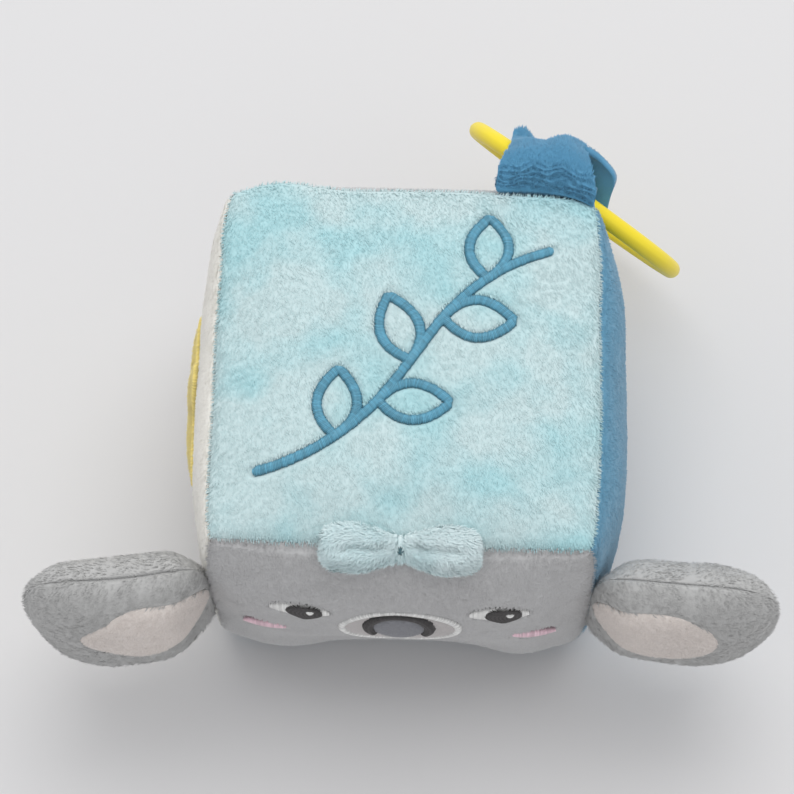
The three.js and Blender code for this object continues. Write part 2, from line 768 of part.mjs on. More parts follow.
// One stitched stroke on the top panel along a flat curve, with a low four-sided section.
function stroke(curve, steps) {
  const rings = [];
  for (let i = 0; i <= steps; i++) {
    const t = i / steps;
    const p = curve.getPoint(t);
    const dir = curve.getTangent(t);
    const wide = (sprig.strokeWidth / 2) * (i === 0 || i === steps ? strokeEndShare : 1);
    const side = new THREE.Vector2(-dir.y, dir.x).multiplyScalar(wide);
    const low = fitGap;
    const high = fitGap + sprig.strokeThickness;
    rings.push([
      onFace(faces.top, p.x - side.x, p.y - side.y, low),
      onFace(faces.top, p.x + side.x, p.y + side.y, low),
      onFace(faces.top, p.x + side.x * strokeTopShare, p.y + side.y * strokeTopShare, high),
      onFace(faces.top, p.x - side.x * strokeTopShare, p.y - side.y * strokeTopShare, high),
    ]);
  }
  return toManifold(loft(rings));
}

// A leaf is two bowed strokes from its foot on the stem to a shared tip.
function leafStrokes(foot, heading) {
  const tip = foot.clone().addScaledVector(heading, sprig.leafLength);
  const side = new THREE.Vector2(-heading.y, heading.x);
  return [-1, 1].map((sign) => {
    const bend = foot.clone().lerp(tip, leafBellyShare)
      .addScaledVector(side, sign * 2 * sprig.leafHalfWidth);
    return stroke(new THREE.QuadraticBezierCurve(foot, bend, tip), leafSteps);
  });
}

function buildSprig() {
  const guides = stemShares.map(([a, b]) => new THREE.Vector2(a * half.x, b * half.y));
  const stem = new THREE.CubicBezierCurve(...guides);
  let solid = stroke(stem, stemSteps);
  leafPlaceShares.forEach((share, i) => {
    const turn = (i % 2 === 0 ? 1 : -1) * radians(leafSpreadDeg);
    const heading = stem.getTangent(share).rotateAround(new THREE.Vector2(), turn);
    for (const part of leafStrokes(stem.getPoint(share), heading)) solid = solid.add(part);
  });
  return finish('top_embroidery', fromManifold(solid), colours.thread);
}

// Assembly

const object = new THREE.Group();
object.add(buildPanel('top', colours.aqua));
object.add(buildPanel('front', colours.grey));
object.add(buildPanel('left', colours.cream));
object.add(buildPanel('right', colours.blue));
object.add(buildPanel('back', colours.grey));
object.add(buildPanel('bottom', colours.blue));
object.add(buildFilling());
object.add(...buildFace());
object.add(...buildEar('left', -1));
object.add(...buildEar('right', 1));
object.add(...buildBow());
object.add(buildStrap());
object.add(buildRing());
object.add(...buildStar());
object.add(buildSprig());

export default object;
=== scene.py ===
import math
from functools import partial
import bpy
import numpy as np
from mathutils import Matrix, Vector


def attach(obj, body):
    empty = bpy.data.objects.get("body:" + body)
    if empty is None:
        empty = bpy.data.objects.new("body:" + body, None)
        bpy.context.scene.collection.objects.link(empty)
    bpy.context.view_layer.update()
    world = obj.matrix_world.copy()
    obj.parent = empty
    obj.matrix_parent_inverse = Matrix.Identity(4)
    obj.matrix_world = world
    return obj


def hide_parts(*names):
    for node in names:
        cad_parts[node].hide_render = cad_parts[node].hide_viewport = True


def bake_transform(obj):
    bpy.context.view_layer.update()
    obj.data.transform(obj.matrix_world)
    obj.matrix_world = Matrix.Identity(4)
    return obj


# A baby's plush activity cube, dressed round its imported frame.
# Shapes are worked out in millimetres and go into Blender in metres.

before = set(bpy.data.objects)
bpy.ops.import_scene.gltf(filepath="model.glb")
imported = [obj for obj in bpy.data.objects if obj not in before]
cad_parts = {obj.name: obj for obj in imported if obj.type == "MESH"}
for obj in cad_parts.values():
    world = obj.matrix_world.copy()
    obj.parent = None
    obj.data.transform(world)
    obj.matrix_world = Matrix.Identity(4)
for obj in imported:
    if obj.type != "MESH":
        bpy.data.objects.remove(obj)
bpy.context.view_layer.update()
mm = 0.001
print("frame loaded,", len(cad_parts), "nodes")


# Noise and small sums.

def smooth(t):
    t = np.clip(t, 0, 1)
    return t * t * (3 - 2 * t)


def unit(v):
    return v / np.maximum(np.linalg.norm(v, axis=-1, keepdims=True), 1e-9)


noisePrimes = np.array([374761393, 668265263, 2147483647])
seedPrime, mixPrime = 974711, 1274126177
lowBits = 0xFFFFFFFF


def lattice(points, cell, seed):
    # Noise from about -1 to 1: every corner of a grid of side `cell` holds a random slope,
    # and the eight slopes round a point are blended by w = t^3 (6 t^2 - 15 t + 10) along each axis.
    q = points / np.asarray(cell, float)
    low = np.floor(q)
    t = q - low
    low = low.astype(np.int64)
    w = t ** 3 * (t * (6 * t - 15) + 10)
    total = np.zeros(points.shape[:-1])
    for corner in np.ndindex(2, 2, 2):
        h = (((low + corner) * noisePrimes).sum(-1) + seed * seedPrime) & lowBits
        h = ((h ^ (h >> 13)) * mixPrime) & lowBits
        h = h ^ (h >> 16)
        slope = np.stack([h & 1023, (h >> 10) & 1023, (h >> 20) & 1023], -1) / 511.5 - 1
        share = np.prod(np.where(np.array(corner) == 1, w, 1 - w), axis=-1)
        total += share * ((t - corner) * slope).sum(-1)
    return total * 1.5


# Putting meshes into Blender.

def putMesh(name, points, quads=None, tris=None, marks=None, uv=None, facing=None):
    quads = np.zeros((0, 4), int) if quads is None else np.asarray(quads).reshape(-1, 4)
    tris = np.zeros((0, 3), int) if tris is None else np.asarray(tris).reshape(-1, 3)
    points = np.asarray(points, float).reshape(-1, 3)
    corners = np.concatenate([quads.ravel(), tris.ravel()]).astype(np.int32)
    sizes = np.concatenate([np.full(len(quads), 4), np.full(len(tris), 3)])
    starts = (np.cumsum(sizes) - sizes).astype(np.int32)
    mesh = bpy.data.meshes.new(name)
    mesh.vertices.add(len(points))
    mesh.vertices.foreach_set("co", (points * mm).astype(np.float32).ravel())
    mesh.loops.add(len(corners))
    mesh.loops.foreach_set("vertex_index", corners)
    mesh.polygons.add(len(sizes))
    mesh.polygons.foreach_set("loop_start", starts)
    mesh.polygons.foreach_set("use_smooth", np.ones(len(sizes), bool))
    mesh.update(calc_edges=True)
    for mark, values in (marks or {}).items():
        spots = mesh.attributes.new(mark, "FLOAT", "POINT").data
        spots.foreach_set("value", np.asarray(values, np.float32).ravel())
    if uv is not None:
        layer = mesh.uv_layers.new(name="OFBake")
        layer.uv.foreach_set("vector", np.asarray(uv, np.float32).reshape(-1, 2)[corners].ravel())
    mesh.validate()
    if facing is not None:
        mesh.normals_split_custom_set_from_vertices(np.asarray(facing, np.float32).reshape(-1, 3))
    piece = bpy.data.objects.new(name, mesh)
    bpy.context.scene.collection.objects.link(piece)
    return piece


def gridQuads(rows, columns, start=0):
    # Faces of a grid of rows x columns points numbered row by row from `start`.
    i, j = np.meshgrid(np.arange(rows - 1), np.arange(columns - 1), indexing="ij")
    a = start + i * columns + j
    return np.stack([a, a + columns, a + columns + 1, a + 1], -1).reshape(-1, 4)
def wrapQuads(rows, columns, closed=False):
    # Faces of a grid whose columns close round, and its rows too if `closed`.
    i, j = np.meshgrid(np.arange(rows if closed else rows - 1), np.arange(columns), indexing="ij")
    nextI, nextJ = (i + 1) % rows, (j + 1) % columns
    corners = [i * columns + j, nextI * columns + j, nextI * columns + nextJ, i * columns + nextJ]
    return np.stack(corners, -1).reshape(-1, 4)


def turnedOver(quads):
    return quads[:, [0, 3, 2, 1]]

def rimOf(rows, columns, start=0):
    # The points round a grid's edge, in order.
    number = start + np.arange(rows * columns).reshape(rows, columns)
    return np.concatenate([number[:-1, 0], number[-1, :-1], number[:0:-1, -1], number[0, :0:-1]])


def shell(outer, inner, flip):
    # A closed cloth: a fine outside, a coarse inside whose rim has one point for every k of the outside's,
    # and a strip of triangles between the two rims.
    rows, columns = outer.shape[:2]
    backRows, backColumns = inner.shape[:2]
    quads = gridQuads(rows, columns)
    back = gridQuads(backRows, backColumns, rows * columns)[:, ::-1]
    fine = rimOf(rows, columns)
    coarse = rimOf(backRows, backColumns, rows * columns)
    k = len(fine) // len(coarse)
    owner = np.repeat(coarse, k)
    fans = np.stack([fine, np.roll(fine, -1), owner], -1)
    steps = np.stack([fine[(np.arange(len(coarse)) * k + k) % len(fine)], np.roll(coarse, -1), coarse], -1)
    tris = np.concatenate([fans, steps])[:, ::-1]
    quads = np.concatenate([quads, back])
    if flip:
        quads, tris = quads[:, ::-1], tris[:, ::-1]
    return np.concatenate([outer.reshape(-1, 3), inner.reshape(-1, 3)]), quads, tris


def tube(rings, flip):
    # A closed skin over rings of points [stations, steps, 3], shut at both ends by a point in the
    # ring's middle.
    stations, steps = rings.shape[:2]
    quads = turnedOver(wrapQuads(stations, steps))
    first, last = stations * steps, stations * steps + 1
    end = (stations - 1) * steps
    k = np.arange(steps)
    nextK = (k + 1) % steps
    tris = np.concatenate([
        np.stack([nextK, k, np.full(steps, first)], -1),
        np.stack([end + k, end + nextK, np.full(steps, last)], -1),
    ])
    points = np.concatenate([rings.reshape(-1, 3), rings[0].mean(0)[None], rings[-1].mean(0)[None]])
    if flip:
        quads, tris = quads[:, ::-1], tris[:, ::-1]
    return points, quads, tris


# Materials.

def feed(tree, socket, value):
    # Another node's output is linked, anything else is set.
    if isinstance(value, bpy.types.NodeSocket):
        tree.links.new(value, socket)
    else:
        socket.default_value = value


def setInputs(tree, node, **values):
    # Each value goes to the input of its name, _ for a blank, or else to the node's own setting.
    for key, value in values.items():
        label = key.replace("_", " ")
        if label in node.inputs:
            feed(tree, node.inputs[label], value)
        else:
            setattr(node, key, value)
    return node


def addNode(tree, kind, **values):
    return setInputs(tree, tree.nodes.new("ShaderNode" + kind), **values)


def mathNode(tree, operation, *values):
    node = addNode(tree, "Math", operation=operation)
    for socket, value in zip(node.inputs, values):
        feed(tree, socket, value)
    return node.outputs[0]


def mixed(tree, share, low, high):
    # Two colours blended; they are the seventh and eighth inputs of Blender's node.
    node = addNode(tree, "Mix", data_type="RGBA")
    for place, value in ((0, share), (6, low), (7, high)):
        feed(tree, node.inputs[place], value)
    return node.outputs[2]


def spreadRound(tree, value, amount):
    # 1 + (value - 0.5) x amount.
    return mathNode(tree, "MULTIPLY_ADD", mathNode(tree, "SUBTRACT", value, 0.5), amount, 1.0)


def attribute(tree, name):
    return addNode(tree, "Attribute", attribute_name=name).outputs["Fac"]


def noiseOver(tree, place, **values):
    return addNode(tree, "TexNoise", Vector=place, **values).outputs["Fac"]


def bumpNormal(tree, height, strength, distance):
    return addNode(tree, "Bump", Strength=strength, Distance=distance * mm, Height=height).outputs["Normal"]


def newGroup(name, inputs):
    group = bpy.data.node_groups.new(name, "ShaderNodeTree")
    for label, value in inputs.items():
        kind = "NodeSocketColor" if isinstance(value, tuple) else "NodeSocketFloat"
        group.interface.new_socket(name=label, in_out="INPUT", socket_type=kind).default_value = value
    group.interface.new_socket(name="Colour", in_out="OUTPUT", socket_type="NodeSocketColor")
    group.interface.new_socket(name="Height", in_out="OUTPUT", socket_type="NodeSocketFloat")
    return group, group.nodes.new("NodeGroupInput").outputs, group.nodes.new("NodeGroupOutput").inputs


def paintedRootShade(group, source):
    # Painted shade: darker at a fibre's root or a stitch's end, where the attribute tip is low, standing in
    # for shade down in the pile.
    root = addNode(group, "MapRange", Value=attribute(group, "tip"), To_Min=source["Root Shade"])
    return root.outputs["Result"]


def giveColour(group, result, colour, level, height):
    shaded = addNode(group, "VectorMath", operation="SCALE", Vector=colour, Scale=level)
    feed(group, result["Colour"], shaded.outputs[0])
    feed(group, result["Height"], height)
    return group


def makePileGroup():
    # Pile: painted shade darker at the roots; each lock a little lighter or darker, partly random tone and
    # partly painted shade that lightens raised locks; slow patches of painted shade and sheen where the nap
    # lies another way.
    group, source, result = newGroup("pileColour", {
        "Base": (0.8, 0.8, 0.8, 1), "Nap Shade Colour": (0.7, 0.7, 0.7, 1), "Root Shade": 0.6, "Lock Spread": 0.2,
        "Patch Spread": 0.15, "Patch Scale": 45.0, "Patch From": 0.42, "Nap Shade To": 0.66,
        "Speck Scale": 2600.0,
    })
    place = addNode(group, "TexCoord").outputs["Object"]
    patches = noiseOver(group, place, Scale=source["Patch Scale"], Detail=2.0, Roughness=0.5)
    specks = noiseOver(group, place, Scale=source["Speck Scale"], Detail=2.0, Roughness=0.6)
    lock = spreadRound(group, attribute(group, "tone"), source["Lock Spread"])
    patch = spreadRound(group, patches, source["Patch Spread"])
    level = mathNode(group, "MULTIPLY", mathNode(group, "MULTIPLY", paintedRootShade(group, source), lock), patch)
    where = addNode(group, "MapRange", Value=patches, From_Min=source["Patch From"],
                    From_Max=source["Nap Shade To"])
    hue = mixed(group, where.outputs["Result"], source["Base"], source["Nap Shade Colour"])
    return giveColour(group, result, hue, level, specks)


def makeThreadGroup():
    # Satin thread: each stitch a little lighter or darker at random, painted shade darker where it dives into
    # the cloth, and plies that twist once round for every 1 of the attribute twist.
    group, source, result = newGroup("threadColour", {
        "Base": (0.8, 0.8, 0.8, 1), "Root Shade": 0.5, "Stitch Spread": 0.35,
    })
    stitch = spreadRound(group, attribute(group, "tone"), source["Stitch Spread"])
    level = mathNode(group, "MULTIPLY", paintedRootShade(group, source), stitch)
    ply = mathNode(group, "SINE", mathNode(group, "MULTIPLY", attribute(group, "twist"), 2 * math.pi))
    return giveColour(group, result, source["Base"], level, ply)


pileGroup = makePileGroup()
threadGroup = makeThreadGroup()


def newMaterial(name):
    material = bpy.data.materials.new(name)
    material.use_nodes = True
    return material, material.node_tree, material.node_tree.nodes["Principled BSDF"]


def groupedMaterial(name, group, settings, bump, **shaderValues):
    material, tree, shader = newMaterial(name)
    box = addNode(tree, "Group", node_tree=group, **settings)
    normal = bumpNormal(tree, box.outputs["Height"], *bump)
    setInputs(tree, shader, Base_Color=box.outputs["Colour"], Normal=normal, **shaderValues)
    material.diffuse_color = settings["Base"]
    return material


# Painted Root Shade is painted shade at fibre roots and stitch ends; the nap shade settings paint patches of
# shade and sheen.
# Bump: its strength, and its depth in millimetres.
plushLook = {"Root Shade": 0.84, "Lock Spread": 0.11, "Patch Spread": 0.06}
plushShine = {"Roughness": 0.95, "Sheen_Weight": 0.3, "Sheen_Roughness": 0.5, "Specular_IOR_Level": 0.15}
plushBump = (0.5, 0.25)
threadLook = {"Root Shade": 0.45, "Stitch Spread": 0.6}
threadShine = {"Roughness": 0.38, "Sheen_Weight": 0.1, "Specular_IOR_Level": 0.5}
threadBump = (0.5, 0.05)
clothColours = {
    "aqua": (0.60, 0.755, 0.765), "grey": (0.59, 0.59, 0.59), "earGrey": (0.52, 0.52, 0.51),
    "cream": (0.99, 0.97, 0.90), "blue": (0.13, 0.34, 0.50), "strap": (0.115, 0.34, 0.54),
    # white: the muzzle's white plush, its colour lowered to a light grey by painted shade.
    "bow": (0.80, 0.93, 0.94), "white": (0.70, 0.67, 0.66), "ear": (0.87, 0.80, 0.75),
    "nose": (0.30, 0.305, 0.33), "yellow": (0.95, 0.80, 0.30), "wadding": (0.86, 0.86, 0.85),
}
# The colour of the painted nap shade and sheen patches.
napShadeShares = {"aqua": (0.74, 0.93, 0.96), "bow": (0.88, 0.96, 0.97)}    # the patches' colour against the rest
plainNapShade = (0.93, 0.93, 0.93)
threadColours = {
    "white": (0.88, 0.88, 0.86), "charcoal": (0.050, 0.046, 0.046), "pink": (0.92, 0.66, 0.74),
    "blue": (0.11, 0.34, 0.47), "yellow": (0.95, 0.78, 0.25), "tack": (0.05, 0.12, 0.14),
}

plush, thread = {}, {}
for key, base in clothColours.items():
    napShade = [c * d for c, d in zip(base, napShadeShares.get(key, plainNapShade))]
    settings = {"Base": (*base, 1), "Nap Shade Colour": (*napShade, 1), **plushLook}
    plush[key] = groupedMaterial(key + "Plush", pileGroup, settings, plushBump, **plushShine)
for key, base in threadColours.items():
    settings = {"Base": (*base, 1), **threadLook}
    thread[key] = groupedMaterial(key + "Thread", threadGroup, settings, threadBump, **threadShine)


def dress(piece, body, material, nodes=(), bend=None):
    # bend holds the two bodies of one joint and two points; only whether it is given is read,
    # and then the piece is baked in place instead of attached to a body.
    piece.data.materials.append(material)
    if bend:
        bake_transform(piece)
    else:
        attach(piece, body)
    if nodes:
        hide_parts(*nodes)


def dressPlush(cloths, body, colour, node, bend=None):
    # A cloth takes its solid's place, and its pile goes along.
    dress(cloths[0], body, plush[colour], (node,), bend)
    dress(cloths[1], body, plush[colour], bend=bend)


# Plush sheets.

probe = 2e-3        # how far apart a shape is asked for its slope


def normalsOf(shape, a, b, centre):
    # The cross product of the two ways across the sheet, turned to point away from `centre`.
    n = unit(np.cross(shape(a + probe, b) - shape(a - probe, b), shape(a, b + probe) - shape(a, b - probe)))
    side = np.sign((n * (shape(a, b) - centre)).sum())
    return n * side, side


def sheetUv(a, b, low=0.12, half=0.435):
    # A sheet's place on the map: its whole width, and a band from `low` up, twice `half` tall.
    return np.stack([0.01 + 0.49 * (a + 1), low + half * (b + 1)], -1)


def clothMarks(lock, extra=0, extraShadeMark=0.0):
    # Colour marks of a cloth's points: its locks, then `extra` plain ones. tip is painted shade, lighter
    # where a lock raises the cloth; tone is random tone and painted shade on the same locks.
    tip = np.concatenate([(0.72 + 0.25 * lock).ravel(), np.full(extra, extraShadeMark)])
    tone = np.concatenate([(0.5 + 0.6 * lock).ravel(), np.full(extra, 0.5)])
    return {"tip": tip, "tone": tone}


def layAt(p, n, lay, nap):
    # Locks lie along the level lines of w = (distance across the lay) + sway x noise, so they wave slowly.
    seed = nap["seed"]
    along = unit(lay - n * (lay * n).sum(-1, keepdims=True))
    across = np.cross(n, along)

    def wave(q):
        return (q * across).sum(-1) + nap["sway"] * lattice(q, nap["swayCell"], seed + 1)

    here = wave(p)
    slopeAlong = (wave(p + along * nap["step"]) - here) / nap["step"]
    slopeAcross = (wave(p + across * nap["step"]) - here) / nap["step"]
    way = unit(along * slopeAcross[..., None] - across * slopeAlong[..., None])
    way = way * np.sign((way * along).sum(-1, keepdims=True) + 1e-9)
    run = (p * along).sum(-1) + nap["sway"] * lattice(p, nap["swayCell"], seed + 2)
    lanes = np.stack([run / nap["lockLong"], here / nap["lockWide"], (p * n).sum(-1) / nap["lockDeep"]], -1)
    lock = lattice(lanes, 1.0, seed + 3) * 0.75 + lattice(lanes * (1.9, 2.3, 1.0), 1.0, seed + 4) * 0.35
    return way, lock


def liftAt(p, lock, nap, a, b, edge):
    # How far the pile stands off its cloth: relief x lock + loft x noise, fading at the seams.
    loft = nap["loft"] * (lattice(p, nap["loftCell"], nap["seed"] + 8) * 0.5 + 0.5)
    atSeam = smooth(edge(a, b) / nap["seamFade"]) if edge else 1.0
    return (nap["relief"] * lock + loft) * atSeam


# Painted shade along a blade: darkest at its root, lightest at its end.
bladeShadeMarks = (0.35, 0.35, 0.75, 0.75, 1.0)       # the mark tip at a blade's five points
bladeSpots = np.array([[-1, 0], [1, 0], [-1, 2], [1, 2], [0, 4]]) * 0.0015      # its points on the map
middleShare = 0.85                              # its width half way up


def blades(name, p, n, way, length, lean, curl, width, tone, uv, nap):
    # Each fibre is a tapered blade of five points: it rises at `lean` from the cloth's normal and its
    # upper half at `curl`, so root + l/2 (n cos + way sin) gives its middle and the same again its tip.
    rng = np.random.default_rng(nap["seed"] + 77)
    side = unit(np.cross(n, way))
    twist = rng.normal(0, nap["twist"], len(p))[:, None]
    side = unit(side * np.cos(twist) + np.cross(way, side) * np.sin(twist))
    rise, fall = lean[:, None], curl[:, None]
    middle = p + 0.5 * length[:, None] * (n * np.cos(rise) + way * np.sin(rise))
    tip = middle + 0.5 * length[:, None] * (n * np.cos(fall) + way * np.sin(fall))
    own = unit(np.cross(side, tip - p))
    turn = np.sign((own * n).sum(-1, keepdims=True) + 1e-9)
    own = own * turn
    half = 0.5 * width[:, None] * side * turn
    points = np.stack([p - half, p + half, middle - half * middleShare, middle + half * middleShare, tip], 1)
    facing = np.broadcast_to(unit(n * nap["soft"] + own * (1 - nap["soft"]))[:, None], points.shape)
    base = np.arange(len(p))[:, None] * 5
    quads = base + np.array([[0, 1, 3, 2]])
    tris = base + np.array([[2, 3, 4]])
    marks = {
        "tip": np.broadcast_to(bladeShadeMarks, (len(p), 5)),
        "tone": np.broadcast_to(tone[:, None], (len(p), 5)),
    }
    spots = np.clip(uv[:, None] + bladeSpots, 0.001, 0.999)
    return putMesh(name, points, quads, tris, marks, spots, facing)


def plushSheet(name, shape, centre, nap, lay, cells, k, back, edge=None, bare=None, outward=None, floor=None):
    # A cloth with pile: the sheet's points move out by the nap's relief, and blades stand on it.
    # edge(a, b) is the distance to the nearest seam; bare(a, b) is 1 where the pile is stitched flat.
    lay = np.asarray(lay, float)
    centre = np.asarray(centre, float)
    cells = [max(k, int(c * (1.0)) // k * k) for c in cells]
    a, b = np.meshgrid(*[np.linspace(-1, 1, c + 1) for c in cells], indexing="ij")
    n, side = normalsOf(shape, a, b, centre)
    p = shape(a, b)
    _, lock = layAt(p, n, lay, nap)
    flat = bare(a, b) if bare else np.zeros(a.shape)
    relief = liftAt(p, lock, nap, a, b, edge) * (1 - flat)
    outer = p + n * (relief - nap["sink"] * flat)[..., None]
    backA, backB = a[::k, ::k], b[::k, ::k]
    inner = back(backA, backB)
    if floor is not None:
        outer[..., 2] = np.maximum(outer[..., 2], floor)
        inner[..., 2] = np.maximum(inner[..., 2], floor)
    points, quads, tris = shell(outer, inner, side < 0)
    marks = clothMarks(lock, inner[..., 0].size, 0.4)
    uv = [sheetUv(a, b).reshape(-1, 2), sheetUv(backA, backB, 0.01, 0.045).reshape(-1, 2)]
    cloth = putMesh(name, points, quads, tris, marks, np.concatenate(uv))
    return cloth, growPile(name + "_pile", shape, centre, nap, lay, edge, bare, outward, floor)


def growPile(name, shape, centre, nap, lay, edge=None, bare=None, outward=None, floor=None):
    # Roots are strewn evenly by area: a spot is kept with the chance (its area) / (the largest area).
    rng = np.random.default_rng(nap["seed"])
    wanted = int(nap["area"] * nap["perSquare"] * (1.0))
    a, b = rng.uniform(-1, 1, (2, int(wanted * nap["tries"]) + 100))
    here = shape(a, b)
    weight = np.linalg.norm(np.cross(shape(a + probe, b) - here, shape(a, b + probe) - here), axis=-1)
    keep = rng.uniform(0, np.quantile(weight, nap["evenTo"]), len(a)) < weight
    if bare:
        keep &= bare(a, b) < rng.uniform(0.25, 0.6, len(a))
    a, b = a[keep][:wanted], b[keep][:wanted]
    n, _ = normalsOf(shape, a, b, centre)
    p = shape(a, b)
    way, lock = layAt(p, n, lay, nap)
    near = np.ones(len(a))
    if edge:
        near = smooth(edge(a, b) / nap["edgeTurn"])
    if outward:
        out = outward(a, b)
        out = unit(out - n * (out * n).sum(-1, keepdims=True))
        way = unit(way * (0.15 + near[:, None]) + out * (1 - near[:, None]) * nap["overhang"])
    jitter = rng.normal(0, nap["scatter"], (len(a), 3))
    way = unit(way + jitter - n * (jitter * n).sum(-1, keepdims=True))
    root = p + n * (liftAt(p, lock, nap, a, b, edge) - nap["rootDepth"])[:, None]
    length = nap["pile"] * rng.uniform(0.7, 1.2, len(a)) * (1 + 0.25 * lock)
    lean = np.radians(nap["lean"] * (0.55 + 0.45 * near) + rng.normal(0, 7, len(a)))
    curl = np.radians(nap["curl"] * (0.7 + 0.3 * near) + rng.normal(0, 7, len(a)))
    width = nap["width"] * rng.uniform(0.75, 1.25, len(a))
    # tone: random, plus painted shade that lightens the longer fibres of raised locks.
    tone = 0.5 + 0.45 * lock + rng.uniform(-0.3, 0.3, len(a))
    if floor is not None:       # no roots in the floor, and shorter fibres close over it
        tall = root[:, 2] > floor + 0.6
        a, b, root, n, way, length, lean, curl, width, tone = (
            x[tall] for x in (a, b, root, n, way, length, lean, curl, width, tone))
        length = np.minimum(length, np.maximum(0.3, (root[:, 2] - floor) * 1.2 + 2.5 * (way[:, 2] > -0.3)))
    return blades(name, root, n, way, length, lean, curl, width, tone, sheetUv(a, b), nap)


# Lengths in millimetres, angles in degrees from the cloth's normal, roots per square millimetre.
longNap = {
    "seed": 11, "area": 11500, "perSquare": 4.0, "pile": 1.35, "width": 0.26, "lean": 65, "curl": 84,
    "relief": 0.09, "loft": 0.5, "loftCell": 11.0, "sink": 0.55, "seamFade": 3.0, "edgeTurn": 5.0,
    "overhang": 0.8, "sway": 1.8, "swayCell": 10.0, "step": 0.4, "lockLong": 2.4, "lockWide": 0.55,
    "lockDeep": 9.0, "scatter": 0.11, "soft": 0.8, "twist": 0.2, "rootDepth": 0.15, "tries": 1.6,
    "evenTo": 0.98,
}


def napOf(**changes):
    return {**longNap, **changes}


# The stuffed body.

body = {
    "half": (53.0, 53.0, 48.0), "middleZ": 52.0, "crownPower": 4.2, "cornerShare": 0.022, "cornerPower": 6,
    "seamBow": 1.4, "bowPower": 3, "tuckHeight": 24.0, "tuckShare": 0.04,
    "hollowDepth": 4.5, "hollowZ": 40.0, "hollowSoft": 4.0, "hollowHalfWidth": 29.0, "hollowPower": 5,
    "lowFlat": 1.8, "seamDip": 1.0, "seamSoft": 1.8, "wobble": 0.6, "wobbleCell": 24.0,
    "cloth": 2.2, "backShare": 0.985, "dentWide": 0.12, "rollWide": 1.7, "humpAt": -0.72, "humpWide": 0.2,
}
faces = {
    "top": {"axis": 2, "sign": 1, "across": (0, 1), "crown": 7.0, "roll": (1.4, 1.9, 2.1, 2.2)},
    "front": {"axis": 1, "sign": -1, "across": (0, 2), "crown": 9.6},
    "back": {"axis": 1, "sign": 1, "across": (0, 2), "crown": 9.8},
    "left": {"axis": 0, "sign": -1, "across": (1, 2), "crown": 7.0, "dent": 0.4},
    "right": {"axis": 0, "sign": 1, "across": (1, 2), "crown": 9.8},
    "bottom": {"axis": 2, "sign": -1, "across": (0, 1), "crown": 9.0},
}
bodyMiddle = np.array([0.0, 0.0, body["middleZ"]])


def seamDistance(face, u, v):
    halves = [body["half"][i] for i in faces[face]["across"]]
    return np.minimum((1 - np.abs(u)) * halves[0], (1 - np.abs(v)) * halves[1])


def cloth(face, u, v, depth=0.0):
    # A swollen square: half + crown (1 - |u|^k)(1 - |v|^k) along its axis, less a dent in its middle, corners
    # drawn in by |uv|^6, upright seams bowed out, low sides tucked in, a hollow pressed in under the muzzle,
    # seams dipping towards the block's middle, cut by the floor. The top also rolls out over its seams by
    # roll t exp(1 - t), t the distance to the seam over rollWide, most at a hump near the left.
    kind = faces[face]
    a, b = kind["across"]
    half = np.array(body["half"])
    k = body["crownPower"]
    swell = (1 - np.abs(u) ** k) * (1 - np.abs(v) ** k)
    p = np.zeros(np.shape(u) + (3,))
    p[..., a] = u * (half[a] - depth)
    p[..., b] = v * (half[b] - depth)
    dent = kind.get("dent", 0) * np.exp(-np.hypot(u, v) ** 4 / body["dentWide"])
    p[..., kind["axis"]] = kind["sign"] * (half[kind["axis"]] - depth + kind["crown"] * swell - dent)
    if "roll" in kind:
        left, right, behind, hump = kind["roll"]
        beside, beyond = ((1 - np.abs(c)) * half[0] / body["rollWide"] for c in (u, v))
        behind = behind + hump * np.exp(-((u - body["humpAt"]) / body["humpWide"]) ** 2)
        sideways = np.where(u < 0, -left, right) * beside * np.exp(1 - beside)
        p[..., 0] += sideways * (1 - np.exp(-beyond / 2))
        p[..., 1] += np.where(v > 0, behind, 0) * beyond * np.exp(1 - beyond) * (1 - np.exp(-beside / 2))
    p *= (1 - body["cornerShare"] * np.abs(u * v) ** body["cornerPower"])[..., None]
    stand = np.clip(np.abs(p[..., 2]) / half[2], 0, 1) ** body["bowPower"]
    spread = body["seamBow"] / half[0] * (1 - stand) * np.exp(-swell * 4)
    p[..., 0] *= 1 + spread
    p[..., 1] *= 1 + spread
    p[..., 2] += body["middleZ"]
    low = np.clip((body["tuckHeight"] - p[..., 2]) / body["tuckHeight"], 0, 1)
    draw = 1 - body["tuckShare"] * low ** 2
    reach = np.clip(-p[..., 1] / half[1], 0, 1) ** 2
    below = 1 / (1 + np.exp((p[..., 2] - body["hollowZ"]) / body["hollowSoft"]))
    beside = np.exp(-np.abs(p[..., 0] / body["hollowHalfWidth"]) ** body["hollowPower"])
    p[..., 0] *= draw
    p[..., 1] = p[..., 1] * draw + (body["hollowDepth"] * beside + body["lowFlat"]) * reach * below
    dip = body["seamDip"] * np.exp(-np.maximum(seamDistance(face, u, v), 0) / body["seamSoft"])
    inward = unit(bodyMiddle - p)
    wobble = np.stack([lattice(p, body["wobbleCell"], seed) for seed in (5, 6, 7)], -1) * body["wobble"]
    p = p + inward * dip[..., None] + wobble
    p[..., 2] = np.maximum(p[..., 2], depth)
    return p


def panelBack(face, u, v):
    return cloth(face, u * body["backShare"], v * body["backShare"], body["cloth"])


def facePlace(face):
    # Where a spot (across, up) in millimetres from the panel's middle lies, lifted off along the normal.
    halves = [body["half"][i] for i in faces[face]["across"]]

    def place(s, t, lift):
        u, v = s / halves[0], t / halves[1]
        n, _ = normalsOf(partial(cloth, face), u, v, bodyMiddle)
        return cloth(face, u, v) + n * np.asarray(lift)[..., None]

    return place


onTop, onFront, onLeft = facePlace("top"), facePlace("front"), facePlace("left")


# The sprig's lines, needed by the top panel too.

